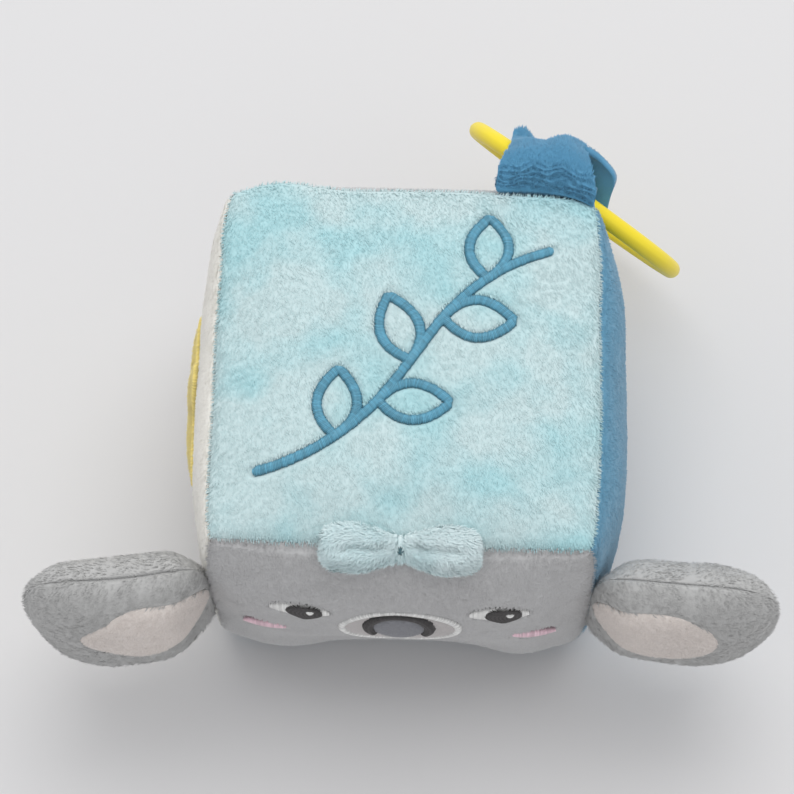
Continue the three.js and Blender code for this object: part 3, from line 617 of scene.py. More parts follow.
sprig = {
    "stem": [(-0.77, -0.64), (0.11, -0.42), (-0.11, 0.3), (0.75, 0.66)],
    "leafAt": (0.2, 0.36, 0.52, 0.68, 0.84), "leafSpread": 52, "leafLength": 20.0, "leafHalfWidth": 5.6,
    "leafBelly": 0.45, "strokeWidth": 3.1, "pitch": 0.44, "thread": 0.25, "arch": 0.95, "slant": 0.16,
    "ragged": 0.09, "endTaper": 1.2, "endShare": 0.55, "bareFrom": 1.1, "bareOver": 1.5,
}


def bezier(guides, t):
    # de Casteljau: each pass replaces neighbours by (1 - t) p + t q until one point is left.
    level = [np.asarray(g, float)[None] + 0 * t[:, None] for g in guides]
    while len(level) > 1:
        level = [p * (1 - t[:, None]) + q * t[:, None] for p, q in zip(level, level[1:])]
    return level[0]


def evenly(guides, pitch):
    # Points along a curve at equal steps of its length, with the way it runs there.
    t = np.linspace(0, 1, 400)
    line = bezier(guides, t)
    run = np.concatenate([[0], np.cumsum(np.linalg.norm(np.diff(line, axis=0), axis=1))])
    spots = np.linspace(0, run[-1], max(3, int(run[-1] / pitch)))
    points = np.stack([np.interp(spots, run, line[:, i]) for i in (0, 1)], -1)
    return points, unit(np.gradient(points, axis=0))


def sprigCurves():
    # A stem, and leaves that turn away to its left and right, each drawn by two bowed lines.
    stem = [np.array(g) * body["half"][:2] for g in sprig["stem"]]
    curves = [stem]
    for i, share in enumerate(sprig["leafAt"]):
        foot, ahead = bezier(stem, np.array([share, share + 0.01]))
        turn = math.radians(sprig["leafSpread"]) * (1 if i % 2 == 0 else -1)
        x, y = unit(ahead - foot)
        way = np.array([x * math.cos(turn) - y * math.sin(turn), x * math.sin(turn) + y * math.cos(turn)])
        tip = foot + way * sprig["leafLength"]
        aside = np.array([-way[1], way[0]]) * 2 * sprig["leafHalfWidth"]
        belly = foot + (tip - foot) * sprig["leafBelly"]
        curves += [[foot, belly + aside, tip], [foot, belly - aside, tip]]
    return curves


strokes = [evenly(curve, sprig["pitch"]) for curve in sprigCurves()]
strokePoints = np.concatenate([s[0][::3] for s in strokes])
mapHalf, mapStep = body["half"][0], 0.5
mapSide = np.linspace(-mapHalf, mapHalf, int(2 * mapHalf / mapStep) + 1)
mapSpots = np.stack(np.meshgrid(mapSide, mapSide, indexing="ij"), -1)
strokeGap = np.sqrt(((mapSpots[:, :, None] - strokePoints) ** 2).sum(-1).min(-1))


def gapToStroke(x, y):
    # Distance to the nearest stitched line, read from a half millimetre map by the nearest four cells.
    i, j = (np.clip((c + mapHalf) / mapStep, 0, len(mapSide) - 1.001) for c in (x, y))
    i0, j0 = i.astype(int), j.astype(int)
    fi, fj = i - i0, j - j0
    return ((strokeGap[i0, j0] * (1 - fi) + strokeGap[i0 + 1, j0] * fi) * (1 - fj)
            + (strokeGap[i0, j0 + 1] * (1 - fi) + strokeGap[i0 + 1, j0 + 1] * fi) * fj)


def sprigBare(u, v):
    gap = gapToStroke(u * body["half"][0], v * body["half"][1])
    return 1 - smooth((gap - sprig["bareFrom"]) / sprig["bareOver"])


# Face and star outlines.

# Middles and half sizes across and up, in millimetres from the panel's middle; dome is a patch's height.
facePatches = {
    "muzzle": {"at": (0.0, 6.5), "half": (17.5, 13.5), "inset": 1.2, "lobeDrop": 3.2, "dome": 0.9},
    "eyeLeft": {"at": (-27.8, 18.2), "half": (8.2, 5.0)},
    "eyeRight": {"at": (27.8, 18.6), "half": (8.2, 4.9)},
    "cheekLeft": {"at": (-38.5, -2.5), "half": (6.2, 3.4), "tilt": 0.5},
    "cheekRight": {"at": (38.5, -2.5), "half": (6.2, 3.4), "tilt": -0.5},
    "pupil": {"shift": (1.2, 0.1), "half": (6.2, 4.3)},
    "glint": {"shift": (1.7, 1.9), "half": (1.35, 0.95)},
    "nose": {
        "at": (0.0, 9.0), "half": (7.1, 8.0), "rim": 3.4, "crest": 2.2, "sideWidth": 3.7, "topWidth": 2.5,
        "arch": 125.0, "lift": 0.9, "dome": 1.3,
    },
}


def frontBare(u, v):
    x, z = u * body["half"][0], v * body["half"][2]
    covered = np.zeros(np.shape(u))
    for key in ("muzzle", "eyeLeft", "eyeRight", "cheekLeft", "cheekRight"):
        (atX, atZ), (halfX, halfZ) = facePatches[key]["at"], facePatches[key]["half"]
        r = np.hypot((x - atX) / (halfX + 0.2), (z - atZ) / (halfZ + 0.2))
        covered = np.maximum(covered, 1 - smooth((r - 0.9) * halfZ / 1.6))
    return covered


star = {
    "along": 3.0, "up": 2.0, "tip": 28.0, "valley": 17.0, "tips": 5, "power": 1.3, "rim": 2.2, "inset": 1.2,
    "dome": 3.0, "domePower": 3.0, "lift": 0.8, "bareFrom": -0.6, "bareOver": 1.4,
}


def starRadius(angle):
    wave = (1 + np.cos(star["tips"] * (angle - math.pi / 2))) / 2
    return star["valley"] + (star["tip"] - star["valley"]) * wave ** star["power"]


def leftBare(u, v):
    y, z = u * body["half"][1] - star["along"], v * body["half"][2] - star["up"]
    gap = np.hypot(y, z) - starRadius(np.arctan2(z, y))
    return 1 - smooth((gap - star["bareFrom"]) / star["bareOver"])


# Panels.

def acrossOut(face, u, v):
    # Towards the nearest seam, in the plane of the panel.
    a, b = faces[face]["across"]
    toU, toV = ((1 - np.abs(c)) * body["half"][i] for c, i in ((u, a), (v, b)))
    near = smooth((toV - toU + 3) / 6)
    way = np.zeros(np.shape(u) + (3,))
    way[..., a] = np.sign(u) * near
    way[..., b] = np.sign(v) * (1 - near)
    return way


# Each panel's cloth, its cells across and up, the way its pile lies, and its roots per square millimetre.
panels = {
    "top": {"colour": "aqua", "cells": (264, 264), "lay": (0.25, -1, 0), "seed": 210, "dense": 4.2},
    "front": {"colour": "grey", "cells": (264, 240), "lay": (0.1, 0, -1), "seed": 220, "dense": 4.2},
    "left": {"colour": "cream", "cells": (180, 168), "lay": (0, -0.2, -1), "seed": 230, "dense": 2.6},
    "right": {"colour": "blue", "cells": (192, 180), "lay": (0, 0.2, -1), "seed": 240, "dense": 3.2},
    "back": {"colour": "grey", "cells": (168, 156), "lay": (0, 0, -1), "seed": 250, "dense": 2.6},
    "bottom": {"colour": "blue", "cells": (96, 96), "lay": (1, 0.2, 0), "seed": 260, "dense": 0.9},
}
bareParts = {"top": sprigBare, "front": frontBare, "left": leftBare}

for face, panel in panels.items():
    cloths = plushSheet(
        face + "_panel_plush", partial(cloth, face), bodyMiddle,
        napOf(seed=panel["seed"], perSquare=panel["dense"]), panel["lay"], panel["cells"], 12,
        partial(panelBack, face), edge=partial(seamDistance, face), bare=bareParts.get(face),
        outward=partial(acrossOut, face), floor=0.0)
    dressPlush(cloths, "block", panel["colour"], face + "_panel")
print("panels made")


# Stitches.

def satin(name, place, start, end, lift, arch, radius, seed, points=8, sides=6):
    # A stitch runs from start to end and arches by arch (1 - |t|^2.6)^0.8 over the cloth, t = -1..1 along it;
    # its round section shrinks at both ends, where it dives in.
    start, end = np.asarray(start, float), np.asarray(end, float)
    count = len(start)
    t = np.sin(np.linspace(-1, 1, points) * math.pi / 2)
    share = (t + 1) / 2
    flat = start[:, None] * (1 - share)[None, :, None] + end[:, None] * share[None, :, None]
    rise = lift + arch * (1 - np.abs(t) ** 2.6) ** 0.8 - 0.5 * np.abs(t) ** 8
    spots = flat.shape[:2]
    line, raised, laid = (
        place(flat[..., 0], flat[..., 1], np.broadcast_to(height, spots)) for height in (rise, 1.0, 0.0))
    way = unit(np.gradient(line, axis=1))
    side = unit(np.cross(way, unit(raised - laid)))
    over = np.cross(side, way)
    angle = 2 * np.pi * np.arange(sides) / sides - math.pi / 2
    girth = radius * np.clip(1.15 - np.abs(t) ** 6, 0.2, 1.0)
    ring = side[:, :, None] * np.cos(angle)[:, None] + over[:, :, None] * np.sin(angle)[:, None]
    verts = line[:, :, None] + ring * girth[None, :, None, None]
    last = (points - 1) * sides
    near = [[3, 2, 1, 0], [5, 4, 3, 0]]
    far = [[last, last + 1, last + 2, last + 3], [last, last + 3, last + 4, last + 5]]
    one = np.concatenate([turnedOver(wrapQuads(points, sides)), near, far])
    quads = np.arange(count)[:, None, None] * points * sides + one[None]
    rng = np.random.default_rng(seed)
    twist = share[None, :, None] * (np.linalg.norm(end - start, axis=1) / 1.1)[:, None, None]
    # tip paints shade on each stitch's ends, where it dives into the cloth; tone is random.
    marks = {
        "tip": np.broadcast_to((1 - np.abs(t) ** 5)[None, :, None], verts.shape[:3]),
        "tone": np.broadcast_to(rng.uniform(0.2, 0.8, count)[:, None, None], verts.shape[:3]),
        "twist": twist + (np.arange(sides) / sides)[None, None, :] * 2,
    }
    low, high = flat.reshape(-1, 2).min(0), flat.reshape(-1, 2).max(0)
    uv = 0.02 + 0.96 * (flat - low) / np.maximum(high - low, 1e-6)
    ringUv = 0.004 * np.stack([np.cos(angle), np.sin(angle)], -1)
    uv = np.broadcast_to(uv[:, :, None], verts.shape[:3] + (2,)) + ringUv[None, None]
    return putMesh(name, verts, quads[..., ::-1], None, marks, uv)


def sprigStitches():
    # Slanting stitches across each stroke, ragged at both sides and shorter at the stroke's ends.
    rng = np.random.default_rng(32)
    starts, ends = [], []
    for points, way in strokes:
        steps = len(points)
        at = np.linspace(0, 1, steps)
        toEnd = np.minimum(at, 1 - at) * steps * sprig["pitch"]
        close = np.clip(toEnd / sprig["endTaper"] + sprig["endShare"], 0, 1)[:, None]
        aside = np.stack([-way[:, 1], way[:, 0]], -1)
        aside = unit(aside + way * sprig["slant"]) * sprig["strokeWidth"] / 2 * close
        starts.append(points - aside * (1 + rng.uniform(-1, 1, (steps, 1)) * sprig["ragged"]))
        ends.append(points + aside * (1 + rng.uniform(-1, 1, (steps, 1)) * sprig["ragged"]))
    return np.concatenate(starts), np.concatenate(ends)
a, b = sprigStitches()
piece = satin("top_sprig", onTop, a, b, -0.35, sprig["arch"], sprig["thread"], 31, points=9)
dress(piece, "block", thread["blue"], ("top_embroidery",))
print("sprig stitched,", len(a), "stitches")

stitching = {"pitch": 0.42, "glintPitch": 0.4, "thread": 0.26}


def ovalRows(at, half, pitch, upright, tilt=0.0):
    # Parallel stitches that fill an oval: a row's half length is h sqrt(1 - d^2), d = -1..1 over the oval.
    rows = int(2 * half[0 if upright else 1] / pitch)
    d = (np.arange(rows) + 0.5) / rows * 2 - 1
    reach = np.sqrt(1 - d ** 2)
    x, z = np.array(at)
    if upright:
        x, z = x + d * half[0], z + d * half[0] * tilt
        return np.stack([x, z - reach * half[1]], -1), np.stack([x, z + reach * half[1]], -1)
    z = z + d * half[1]
    return np.stack([x - reach * half[0], z], -1), np.stack([x + reach * half[0], z], -1)


def stitchOval(node, rows, lift, arch, seed, points, colour):
    piece = satin(node + "_stitches", onFront, *rows, lift, arch, stitching["thread"], seed, points=points)
    dress(piece, "block", thread[colour], (node,))


bothSides = (("left", -1), ("right", 1))

for side, sign in bothSides:
    eye, cheek = facePatches["eye" + side.title()], facePatches["cheek" + side.title()]
    pupil, glint = facePatches["pupil"], facePatches["glint"]
    pupilAt = np.array(eye["at"]) + pupil["shift"]
    white = ovalRows(eye["at"], eye["half"], stitching["pitch"], True)
    black = ovalRows(pupilAt, pupil["half"], stitching["pitch"], False)
    spark = ovalRows(pupilAt + glint["shift"], glint["half"], stitching["glintPitch"], False)
    blush = ovalRows(cheek["at"], cheek["half"], stitching["pitch"], True, cheek["tilt"])
    stitchOval("eye_white_" + side, white, -0.1, 0.8, 40 + sign, 12, "white")
    stitchOval("eye_pupil_" + side, black, 0.55, 0.7, 43 + sign, 10, "charcoal")
    stitchOval("eye_glint_" + side, spark, 1.05, 0.6, 46 + sign, 7, "white")
    stitchOval("cheek_" + side, blush, -0.15, 0.8, 49 + sign, 10, "pink")
print("eyes and cheeks stitched")


# Muzzle, nose and star: short pile patches with a stitched edge.

def discOf(a, b):
    # A square to a disc without a pole: x = a sqrt(1 - b^2 / 2), y = b sqrt(1 - a^2 / 2).
    return a * np.sqrt(np.maximum(1 - b * b / 2, 0)), b * np.sqrt(np.maximum(1 - a * a / 2, 0))


def polar(a, b):
    # Distance from the disc's middle and the angle there.
    x, y = discOf(a, b)
    return np.hypot(x, y), np.arctan2(y, x)


def patchSheet(name, place, at, radiusOf, inset, lift, dome, nap, lay, cells, centre, domePower=2.4):
    # A padded patch: its height is lift + dome (1 - r^p)^0.6 over the cloth, r = 0..1 from its middle to
    # its edge; its cloth is 0.3 thick at the edge.
    def flat(a, b):
        r, angle = polar(a, b)
        reach = radiusOf(angle) - inset
        return at[0] + reach * r * np.cos(angle), at[1] + reach * r * np.sin(angle), r

    def shape(a, b):
        s, t, r = flat(a, b)
        return place(s, t, lift + dome * (1 - np.clip(r, 0, 1) ** domePower) ** 0.6)

    def back(a, b):
        s, t, r = flat(a * 0.98, b * 0.98)
        return place(s, t, np.full(np.shape(a), lift - 0.3))

    return plushSheet(name, shape, centre, nap, lay, cells, 4, back)


def ovalRadius(half, drop=0.0):
    # Distance to an oval's edge at an angle; `drop` lifts the lower edge's middle into two lobes.
    def radius(angle):
        c, s = np.cos(angle), np.sin(angle)
        r = 1 / np.sqrt((c / half[0]) ** 2 + (s / half[1]) ** 2)
        lobe = np.exp(-(2 * r * c / half[0]) ** 2) * np.clip(-s, 0, 1)
        return r - drop * lobe
    return radius


velour = napOf(perSquare=9.0, pile=0.85, width=0.2, lean=40, curl=65, relief=0.12, loft=0.15, lockLong=2.0,
               lockWide=0.7, scatter=0.3, sway=1.2, swayCell=5.0)
frontCentre = np.array([0.0, 0.0, 58.0])
leftCentre = np.array([20.0, 0.0, 54.0])
muzzle, nose = facePatches["muzzle"], facePatches["nose"]
muzzleRadius = ovalRadius(muzzle["half"], muzzle["lobeDrop"])
cloths = patchSheet("muzzle_plush", onFront, muzzle["at"], muzzleRadius, muzzle["inset"], 0.0, muzzle["dome"],
                    {**velour, "seed": 51, "area": 650}, (0, 0, -1), (96, 80), frontCentre)
dressPlush(cloths, "block", "white", "muzzle_patch")


def outlineRim(at, radiusOf, width, pitch, out=0.0):
    # Stitches across a closed outline, evenly spaced along it.
    angle = np.linspace(0, 2 * np.pi, 1500)
    edge = np.stack([radiusOf(angle) * np.cos(angle), radiusOf(angle) * np.sin(angle)], -1)
    run = np.concatenate([[0], np.cumsum(np.linalg.norm(np.diff(edge, axis=0), axis=1))])
    spots = np.linspace(0, run[-1], int(run[-1] / pitch), endpoint=False)
    line = np.stack([np.interp(spots, run, edge[:, i]) for i in (0, 1)], -1)
    way = unit(np.roll(line, -1, 0) - np.roll(line, 1, 0))
    away = np.stack([way[:, 1], -way[:, 0]], -1)
    return np.array(at) + line - away * width, np.array(at) + line + away * out


a, b = outlineRim(muzzle["at"], muzzleRadius, 2.2, stitching["pitch"], 0.2)
piece = satin("muzzle_edge_stitches", onFront, a, b, 0.0, 0.8, stitching["thread"], 52, points=7)
dress(piece, "block", thread["white"])

noseNap = {**velour, "seed": 53, "area": 195, "pile": 0.6, "perSquare": 12.0}
cloths = patchSheet("nose_velvet", onFront, nose["at"], ovalRadius(nose["half"]), 0.0, nose["lift"],
                    nose["dome"], noseNap, (0, 0, -1), (56, 64), frontCentre)
dressPlush(cloths, "block", "nose", "nose_pad")
# The rim's inner ends lie on a smaller oval, and its stitches run only over the top and the sides.
outer = (nose["half"][0] + nose["rim"], nose["half"][1] + nose["crest"])
a, b = outlineRim(nose["at"], ovalRadius(outer), 0.0, stitching["pitch"])
spoke = b - np.array(nose["at"])
inner = (outer[0] - nose["sideWidth"], outer[1] - nose["topWidth"])
a = b - spoke * (1 - 1 / np.hypot(spoke[:, :1] / inner[0], spoke[:, 1:] / inner[1]))
arch = np.abs(np.arctan2(spoke[:, 0], spoke[:, 1])) < math.radians(nose["arch"])
piece = satin("nose_rim_stitches", onFront, a[arch], b[arch], 0.6, 1.1, 0.27, 54, points=8)
dress(piece, "block", thread["charcoal"], ("nose_rim",))

starAt = (star["along"], star["up"])
starNap = {**velour, "seed": 55, "area": 1500, "perSquare": 6.0, "pile": 1.1, "width": 0.24}
cloths = patchSheet("star_plush", onLeft, starAt, starRadius, star["inset"], star["lift"], star["dome"],
                    starNap, (0, -0.3, -1), (128, 128), leftCentre, star["domePower"])
dressPlush(cloths, "block", "yellow", "star_patch")
a, b = outlineRim(starAt, starRadius, star["rim"], 0.45, 0.1)
piece = satin("star_rim_stitches", onLeft, b, a, 0.2, 1.7, 0.28, 56, points=8)
dress(piece, "block", thread["yellow"], ("star_rim",))
print("muzzle, nose and star made")


# Ears.

ear = {
    "rootOffset": 0.75, "reach": 54.0, "middle": 28.0, "z": 55.0, "halfHeight": 27.0, "back": 10.6,
    "rim": 0.5, "rootBlend": 11.0, "rootShare": 0.62, "droopBlend": 18.0, "tipPower": 2.5, "rootPower": 5.0,
    "edgePower": 3.0, "roundPower": 0.66, "bendFrom": 0.5, "bendTo": 9.0, "rimReach": 25.0,
    "ripple": 0.5, "rippleCell": 6.0, "pleatWide": 7.0, "fold": 0.8, "foldCell": 19.0,
    "cloth": 1.5, "clothInset": 0.02, "waddingIn": 2.2, "waddingInset": 0.05,
}
# The photo's two ears aren't alike.
earSides = {
    -1: {"lean": 6.0, "bulge": 3.0, "droop": 3.0, "front": 11.4},
    1: {"lean": 2.5, "bulge": 1.0, "droop": 0.6, "front": 10.4},
}
linings = {
    -1: {"middle": (19.8, 62.0), "half": (18.2, 14.4), "point": 0.4},
    1: {"middle": (19.4, 61.5), "half": (17.6, 14.0), "point": 0.15},
}
liningCloth = {"lift": -0.1, "thick": 0.9, "edgePower": 10, "back": 0.6, "backShare": 0.98, "ovalPower": 2.3}


def earEnd(tipwards):
    # The outline's power and length towards the tip or towards the root.
    power = np.where(tipwards, ear["tipPower"], ear["rootPower"])
    return power, np.where(tipwards, ear["reach"] - ear["middle"], ear["middle"] - ear["rootOffset"])


def earEdge(angle):
    # The outline: length |cos|^(2/p) along and height |sin|^(2/p) up.
    c, s = np.cos(angle), np.sin(angle)
    power, length = earEnd(c > 0)
    along = np.sign(c) * length * np.abs(c) ** (2 / power)
    return along, np.sign(s) * ear["halfHeight"] * np.abs(s) ** (2 / power)


def earPlace(sign, s, z, h):
    # s out along the leaning ear, z up and h forward; it bulges forward by sin(pi s / reach) and its lower
    # half droops forward by the square of how low it is.
    own = earSides[sign]
    lean = math.radians(own["lean"])
    out = np.array([sign * math.cos(lean), -math.sin(lean), 0])
    forward = np.array([-sign * math.sin(lean), -math.cos(lean), 0])
    s, h = np.asarray(s, float), np.asarray(h, float)
    p = np.zeros(s.shape + (3,)) + (sign * body["half"][0], -body["half"][1], 0)
    p[..., 2] += z
    low = np.clip((ear["z"] - z) / ear["halfHeight"], 0, 1) ** 2
    bulge = own["bulge"] * np.sin(np.pi * s / ear["reach"])
    ahead = bulge + own["droop"] * low * smooth(s / ear["droopBlend"])
    return p + out * s[..., None] + forward * (h + ahead)[..., None]


def earSwell(s, z, height):
    # Height over the rim plane: height x root thinning x (1 - share^3)^0.66, share = 0 in the middle, 1 on
    # the rim.
    along = s - ear["middle"]
    power, length = earEnd(along > 0)
    alongShare, upShare = np.abs(along / length), np.abs((z - ear["z"]) / ear["halfHeight"])
    share = (alongShare ** power + upShare ** power) ** (1 / power)
    root = ear["rootShare"] + (1 - ear["rootShare"]) * smooth((s - ear["rootOffset"]) / ear["rootBlend"])
    return height * root * (1 - np.minimum(share, 1) ** ear["edgePower"]) ** ear["roundPower"]


def earFold(sign, s, z, facing):
    return ear["fold"] * lattice(np.stack([s, z, s * 0 + facing * 30], -1), ear["foldCell"], 73 + sign)


def earShape(sign, facing, height, inset, a, b):
    # Swelling, slow folds, and pleats that ripple by exp(-(gap / width)^2) near the rim.
    r, angle = polar(a, b)
    r = r * (1 - inset)
    ex, ey = earEdge(angle)
    s, z = ear["middle"] + r * ex, ear["z"] + r * ey
    h = ear["rim"] * (1 - r ** 8) + earSwell(s, z, height)
    pleat = np.exp(-((1 - r) * ear["rimReach"] / ear["pleatWide"]) ** 2) * smooth((s - 6) / 20)
    ripple = lattice(np.stack([s, z, s * 0 + facing * 9], -1), ear["rippleCell"], 70 + sign)
    h = h + (ear["ripple"] * ripple * pleat + earFold(sign, s, z, facing)) * np.minimum(h / 3, 1)
    return earPlace(sign, s, z, facing * h)


def earRimGap(a, b):
    return (1 - polar(a, b)[0]) * ear["rimReach"]


def earBend(sign):
    start, end = (earPlace(sign, ear[key], ear["z"], 0) for key in ("bendFrom", "bendTo"))
    return {"from": "block", "start": start, "end": end}


def liningRadius(sign, angle):
    # An oval drawn to a point at its outer end: the edge's height shrinks by `point` towards the tip.
    patch, power = linings[sign], liningCloth["ovalPower"]
    c, s = np.cos(angle), np.sin(angle)
    high = patch["half"][1] * (1 - patch["point"] * np.clip(c, 0, 1) ** 2)
    return 1 / (np.abs(c / patch["half"][0]) ** power + np.abs(s / high) ** power) ** (1 / power)


def underLining(sign, a, b):
    # 1 where the lining lies on the ear's front.
    r, angle = polar(a, b)
    ex, ey = earEdge(angle)
    s, z = ear["middle"] + r * ex - linings[sign]["middle"][0], ear["z"] + r * ey - linings[sign]["middle"][1]
    gap = np.hypot(s, z) - liningRadius(sign, np.arctan2(z, s))
    return 1 - smooth((gap + 1.0) / 1.6)


def liningShape(sign, a, b):
    # It follows the ear's front and stands over it by lift + thick (1 - r^10), r = 0..1 to its edge.
    r, angle = polar(a, b)
    reach = liningRadius(sign, angle) * r
    s, z = (m + reach * part(angle) for m, part in zip(linings[sign]["middle"], (np.cos, np.sin)))
    h = ear["rim"] + earSwell(s, z, earSides[sign]["front"])
    over = liningCloth["thick"] * (1 - r ** liningCloth["edgePower"]) + liningCloth["lift"]
    return earPlace(sign, s, z, h + earFold(sign, s, z, 1) * np.minimum(h / 3, 1) + over)


def liningBack(sign, a, b):
    forward = earPlace(sign, 0, 0, 1) - earPlace(sign, 0, 0, 0)
    inner = liningShape(sign, a * liningCloth["backShare"], b * liningCloth["backShare"])
    return inner - liningCloth["back"] * forward


earNap = napOf(area=2500, perSquare=5.4, lockLong=4.0, lockWide=0.9, sway=3.2, swayCell=11.0, relief=0.12,
               pile=1.6, lean=60, seamFade=1.5, edgeTurn=3.0, overhang=0.3, tries=4.0, evenTo=0.995)
liningNap = {**velour, "area": 820, "perSquare": 8.0, "relief": 0.06}

for side, sign in bothSides:
    own = "ear_" + side
    out = earPlace(sign, 1.0, 0, 0) - earPlace(sign, 0.0, 0, 0)
    middle = earPlace(sign, ear["middle"], ear["z"], 0)
    sheets = (("front", 1, earSides[sign]["front"], 610), ("back", -1, ear["back"], 620))
    for name, facing, height, seed in sheets:
        inner = partial(earShape, sign, facing, height - ear["cloth"], ear["clothInset"])
        cloths = plushSheet(
            own + "_" + name + "_plush", partial(earShape, sign, facing, height, 0.0), middle,
            {**earNap, "seed": seed + sign}, out + (0, 0, -0.35), (132, 132), 6, inner, edge=earRimGap,
            bare=partial(underLining, sign) if facing > 0 else None)
        dressPlush(cloths, own, "earGrey", own + "_" + name, earBend(sign))
    cloths = plushSheet(
        own + "_lining_plush", partial(liningShape, sign), earPlace(sign, ear["middle"], ear["z"], -20),
        {**liningNap, "seed": 65 + sign}, out * 0.3 + (0, 0, -1), (88, 80), 4, partial(liningBack, sign))
    dressPlush(cloths, own, "ear", own + "_lining", earBend(sign))
print("ears made")


# Wadding inside the block and the ears.

fibre = {
    "smallLump": 0.15, "smallCell": 3.0, "lump": 0.35, "lumpCell": 9.0, "inset": 0.5, "gap": 0.4,
    "cells": 40, "earCells": 36,
}


def wadding(name, points, quads, tris, seed):
    # Loose fibre: the solid's own form with soft lumps of noise.
    middle = points.mean(0)
    lumps = (lattice(points, fibre["lumpCell"], seed) * fibre["lump"]
             + lattice(points, fibre["smallCell"], seed + 1) * fibre["smallLump"])
    points = points - unit(points - middle) * (fibre["inset"] - lumps)[:, None]
    # tip 0.9 paints a slight root shade over all of it; tone follows the lumps.
    marks = {"tip": np.full(len(points), 0.9), "tone": 0.5 + 0.4 * lumps}
    low, high = points.min(0), points.max(0)
    uv = ((points - low) / (high - low))[:, :2] * 0.98 + 0.01
    return putMesh(name, points, quads, tris, marks, uv)


def boxWadding():
    side = fibre["cells"] + 1
    a, b = np.meshgrid(np.linspace(-1, 1, side), np.linspace(-1, 1, side), indexing="ij")
    grids, quads = [], []
    for i, face in enumerate(faces):
        _, outwards = normalsOf(partial(cloth, face), a, b, bodyMiddle)
        q = gridQuads(side, side, i * side ** 2)
        grids.append(cloth(face, a, b, body["cloth"] + fibre["gap"]).reshape(-1, 3))
        quads.append(q if outwards > 0 else q[:, ::-1])
    return np.concatenate(grids), np.concatenate(quads)


piece = wadding("fibre_wadding", *boxWadding(), None, 81)
dress(piece, "block", plush["wadding"], ("fibre_filling",))
for side, sign in bothSides:
    across = np.linspace(-1, 1, fibre["earCells"] + 1)
    a, b = np.meshgrid(across, across, indexing="ij")
    thick, inset, inner = earSides[sign]["front"], ear["waddingInset"], ear["waddingIn"]
    front = earShape(sign, 1, thick - inner, inset, a, b)
    rear = earShape(sign, -1, ear["back"] - inner, inset, a[::2, ::2], b[::2, ::2])
    middle = earPlace(sign, ear["middle"], ear["z"], 0)
    _, outwards = normalsOf(partial(earShape, sign, 1, thick, 0.0), a, b, middle)
    piece = wadding("ear_" + side + "_wadding", *shell(front, rear, outwards < 0), 83 + sign)
    dress(piece, "ear_" + side, plush["wadding"], ("ear_" + side + "_filling",), earBend(sign))
print("wadding made")


# Bow.

bow = {
    "reach": 21.4, "start": 1.0, "neck": 3.9, "end": 6.6, "neckThick": 1.1, "puff": 2.9, "puffOver": 0.4,
    "drape": 1.9, "power": 3.4, "crease": 1.3, "creaseWide": 1.5, "creaseAt": -0.6, "wide": 0.55, "lift": 0.2,
    "lump": 0.5, "lumpCell": 7.0, "tilt": 55.0, "knotHalf": 1.3, "knotWide": 3.8, "knotThick": 1.5,
    "knotClose": 0.75, "tackWide": 5.2, "bendFrom": 1.8, "bendTo": 7.0,
}
bowTilt = math.radians(bow["tilt"])
bowOff = np.array([0, -math.cos(bowTilt), math.sin(bowTilt)])
bowAcross = np.array([0, -math.sin(bowTilt), -math.cos(bowTilt)])
bowOrigin = np.array([0, -body["half"][1], 100.0])


def bowPlace(s, m, n):
    # s along the seam, m across the bow and n off it.
    s, m, n = (np.asarray(x, float)[..., None] for x in (s, m, n))
    return bowOrigin + np.array([1.0, 0, 0]) * s + bowAcross * m + bowOff * n


def wingShape(sign, a, b):
    # Share t along the wing, angle q round it: half width and puff grow from the neck and close at the end
    # by (1 - t^2p)^(1/p); a crease exp(-(m / w)^2) runs down its middle, and it drapes by m^2 over the seam.
    t, q = (a + 1) / 2, (b + 1) * math.pi
    close = np.clip(1 - np.abs(t) ** (2 * bow["power"]), 0, 1) ** (1 / bow["power"])
    width = (bow["neck"] + (bow["end"] - bow["neck"]) * smooth(t / bow["wide"])) * close
    puff = (bow["neckThick"] + (bow["puff"] - bow["neckThick"]) * smooth(t / bow["puffOver"])) * close
    m = width * np.cos(q)
    upper = np.clip(np.sin(q), 0, 1)
    crease = bow["crease"] * np.exp(-((m - bow["creaseAt"]) / bow["creaseWide"]) ** 2) * upper
    crease = crease * smooth(t / 0.2) * smooth((0.92 - t) / 0.3)
    n = bow["lift"] + puff * (1 + np.sin(q)) - bow["drape"] * (m / bow["end"]) ** 2 - crease
    s = sign * (bow["start"] + t * (bow["reach"] - bow["start"]))
    lump = lattice(np.stack([s, m, n], -1), bow["lumpCell"], 91 + sign) * bow["lump"]
    return bowPlace(s, m * (1 + 0.04 * lump), n + lump * upper)


def knotShape(a, b):
    # The pinched middle: an oval round the bow, narrower at both ends by knotClose |a|^3.
    q = (b + 1) * math.pi
    close = 1 - bow["knotClose"] * np.abs(a) ** 3
    m = bow["knotWide"] * close * np.cos(q)
    n = bow["lift"] + bow["knotThick"] * close * (1 + np.sin(q)) - bow["drape"] * (m / bow["end"]) ** 2
    return bowPlace(a * bow["knotHalf"], m, n)


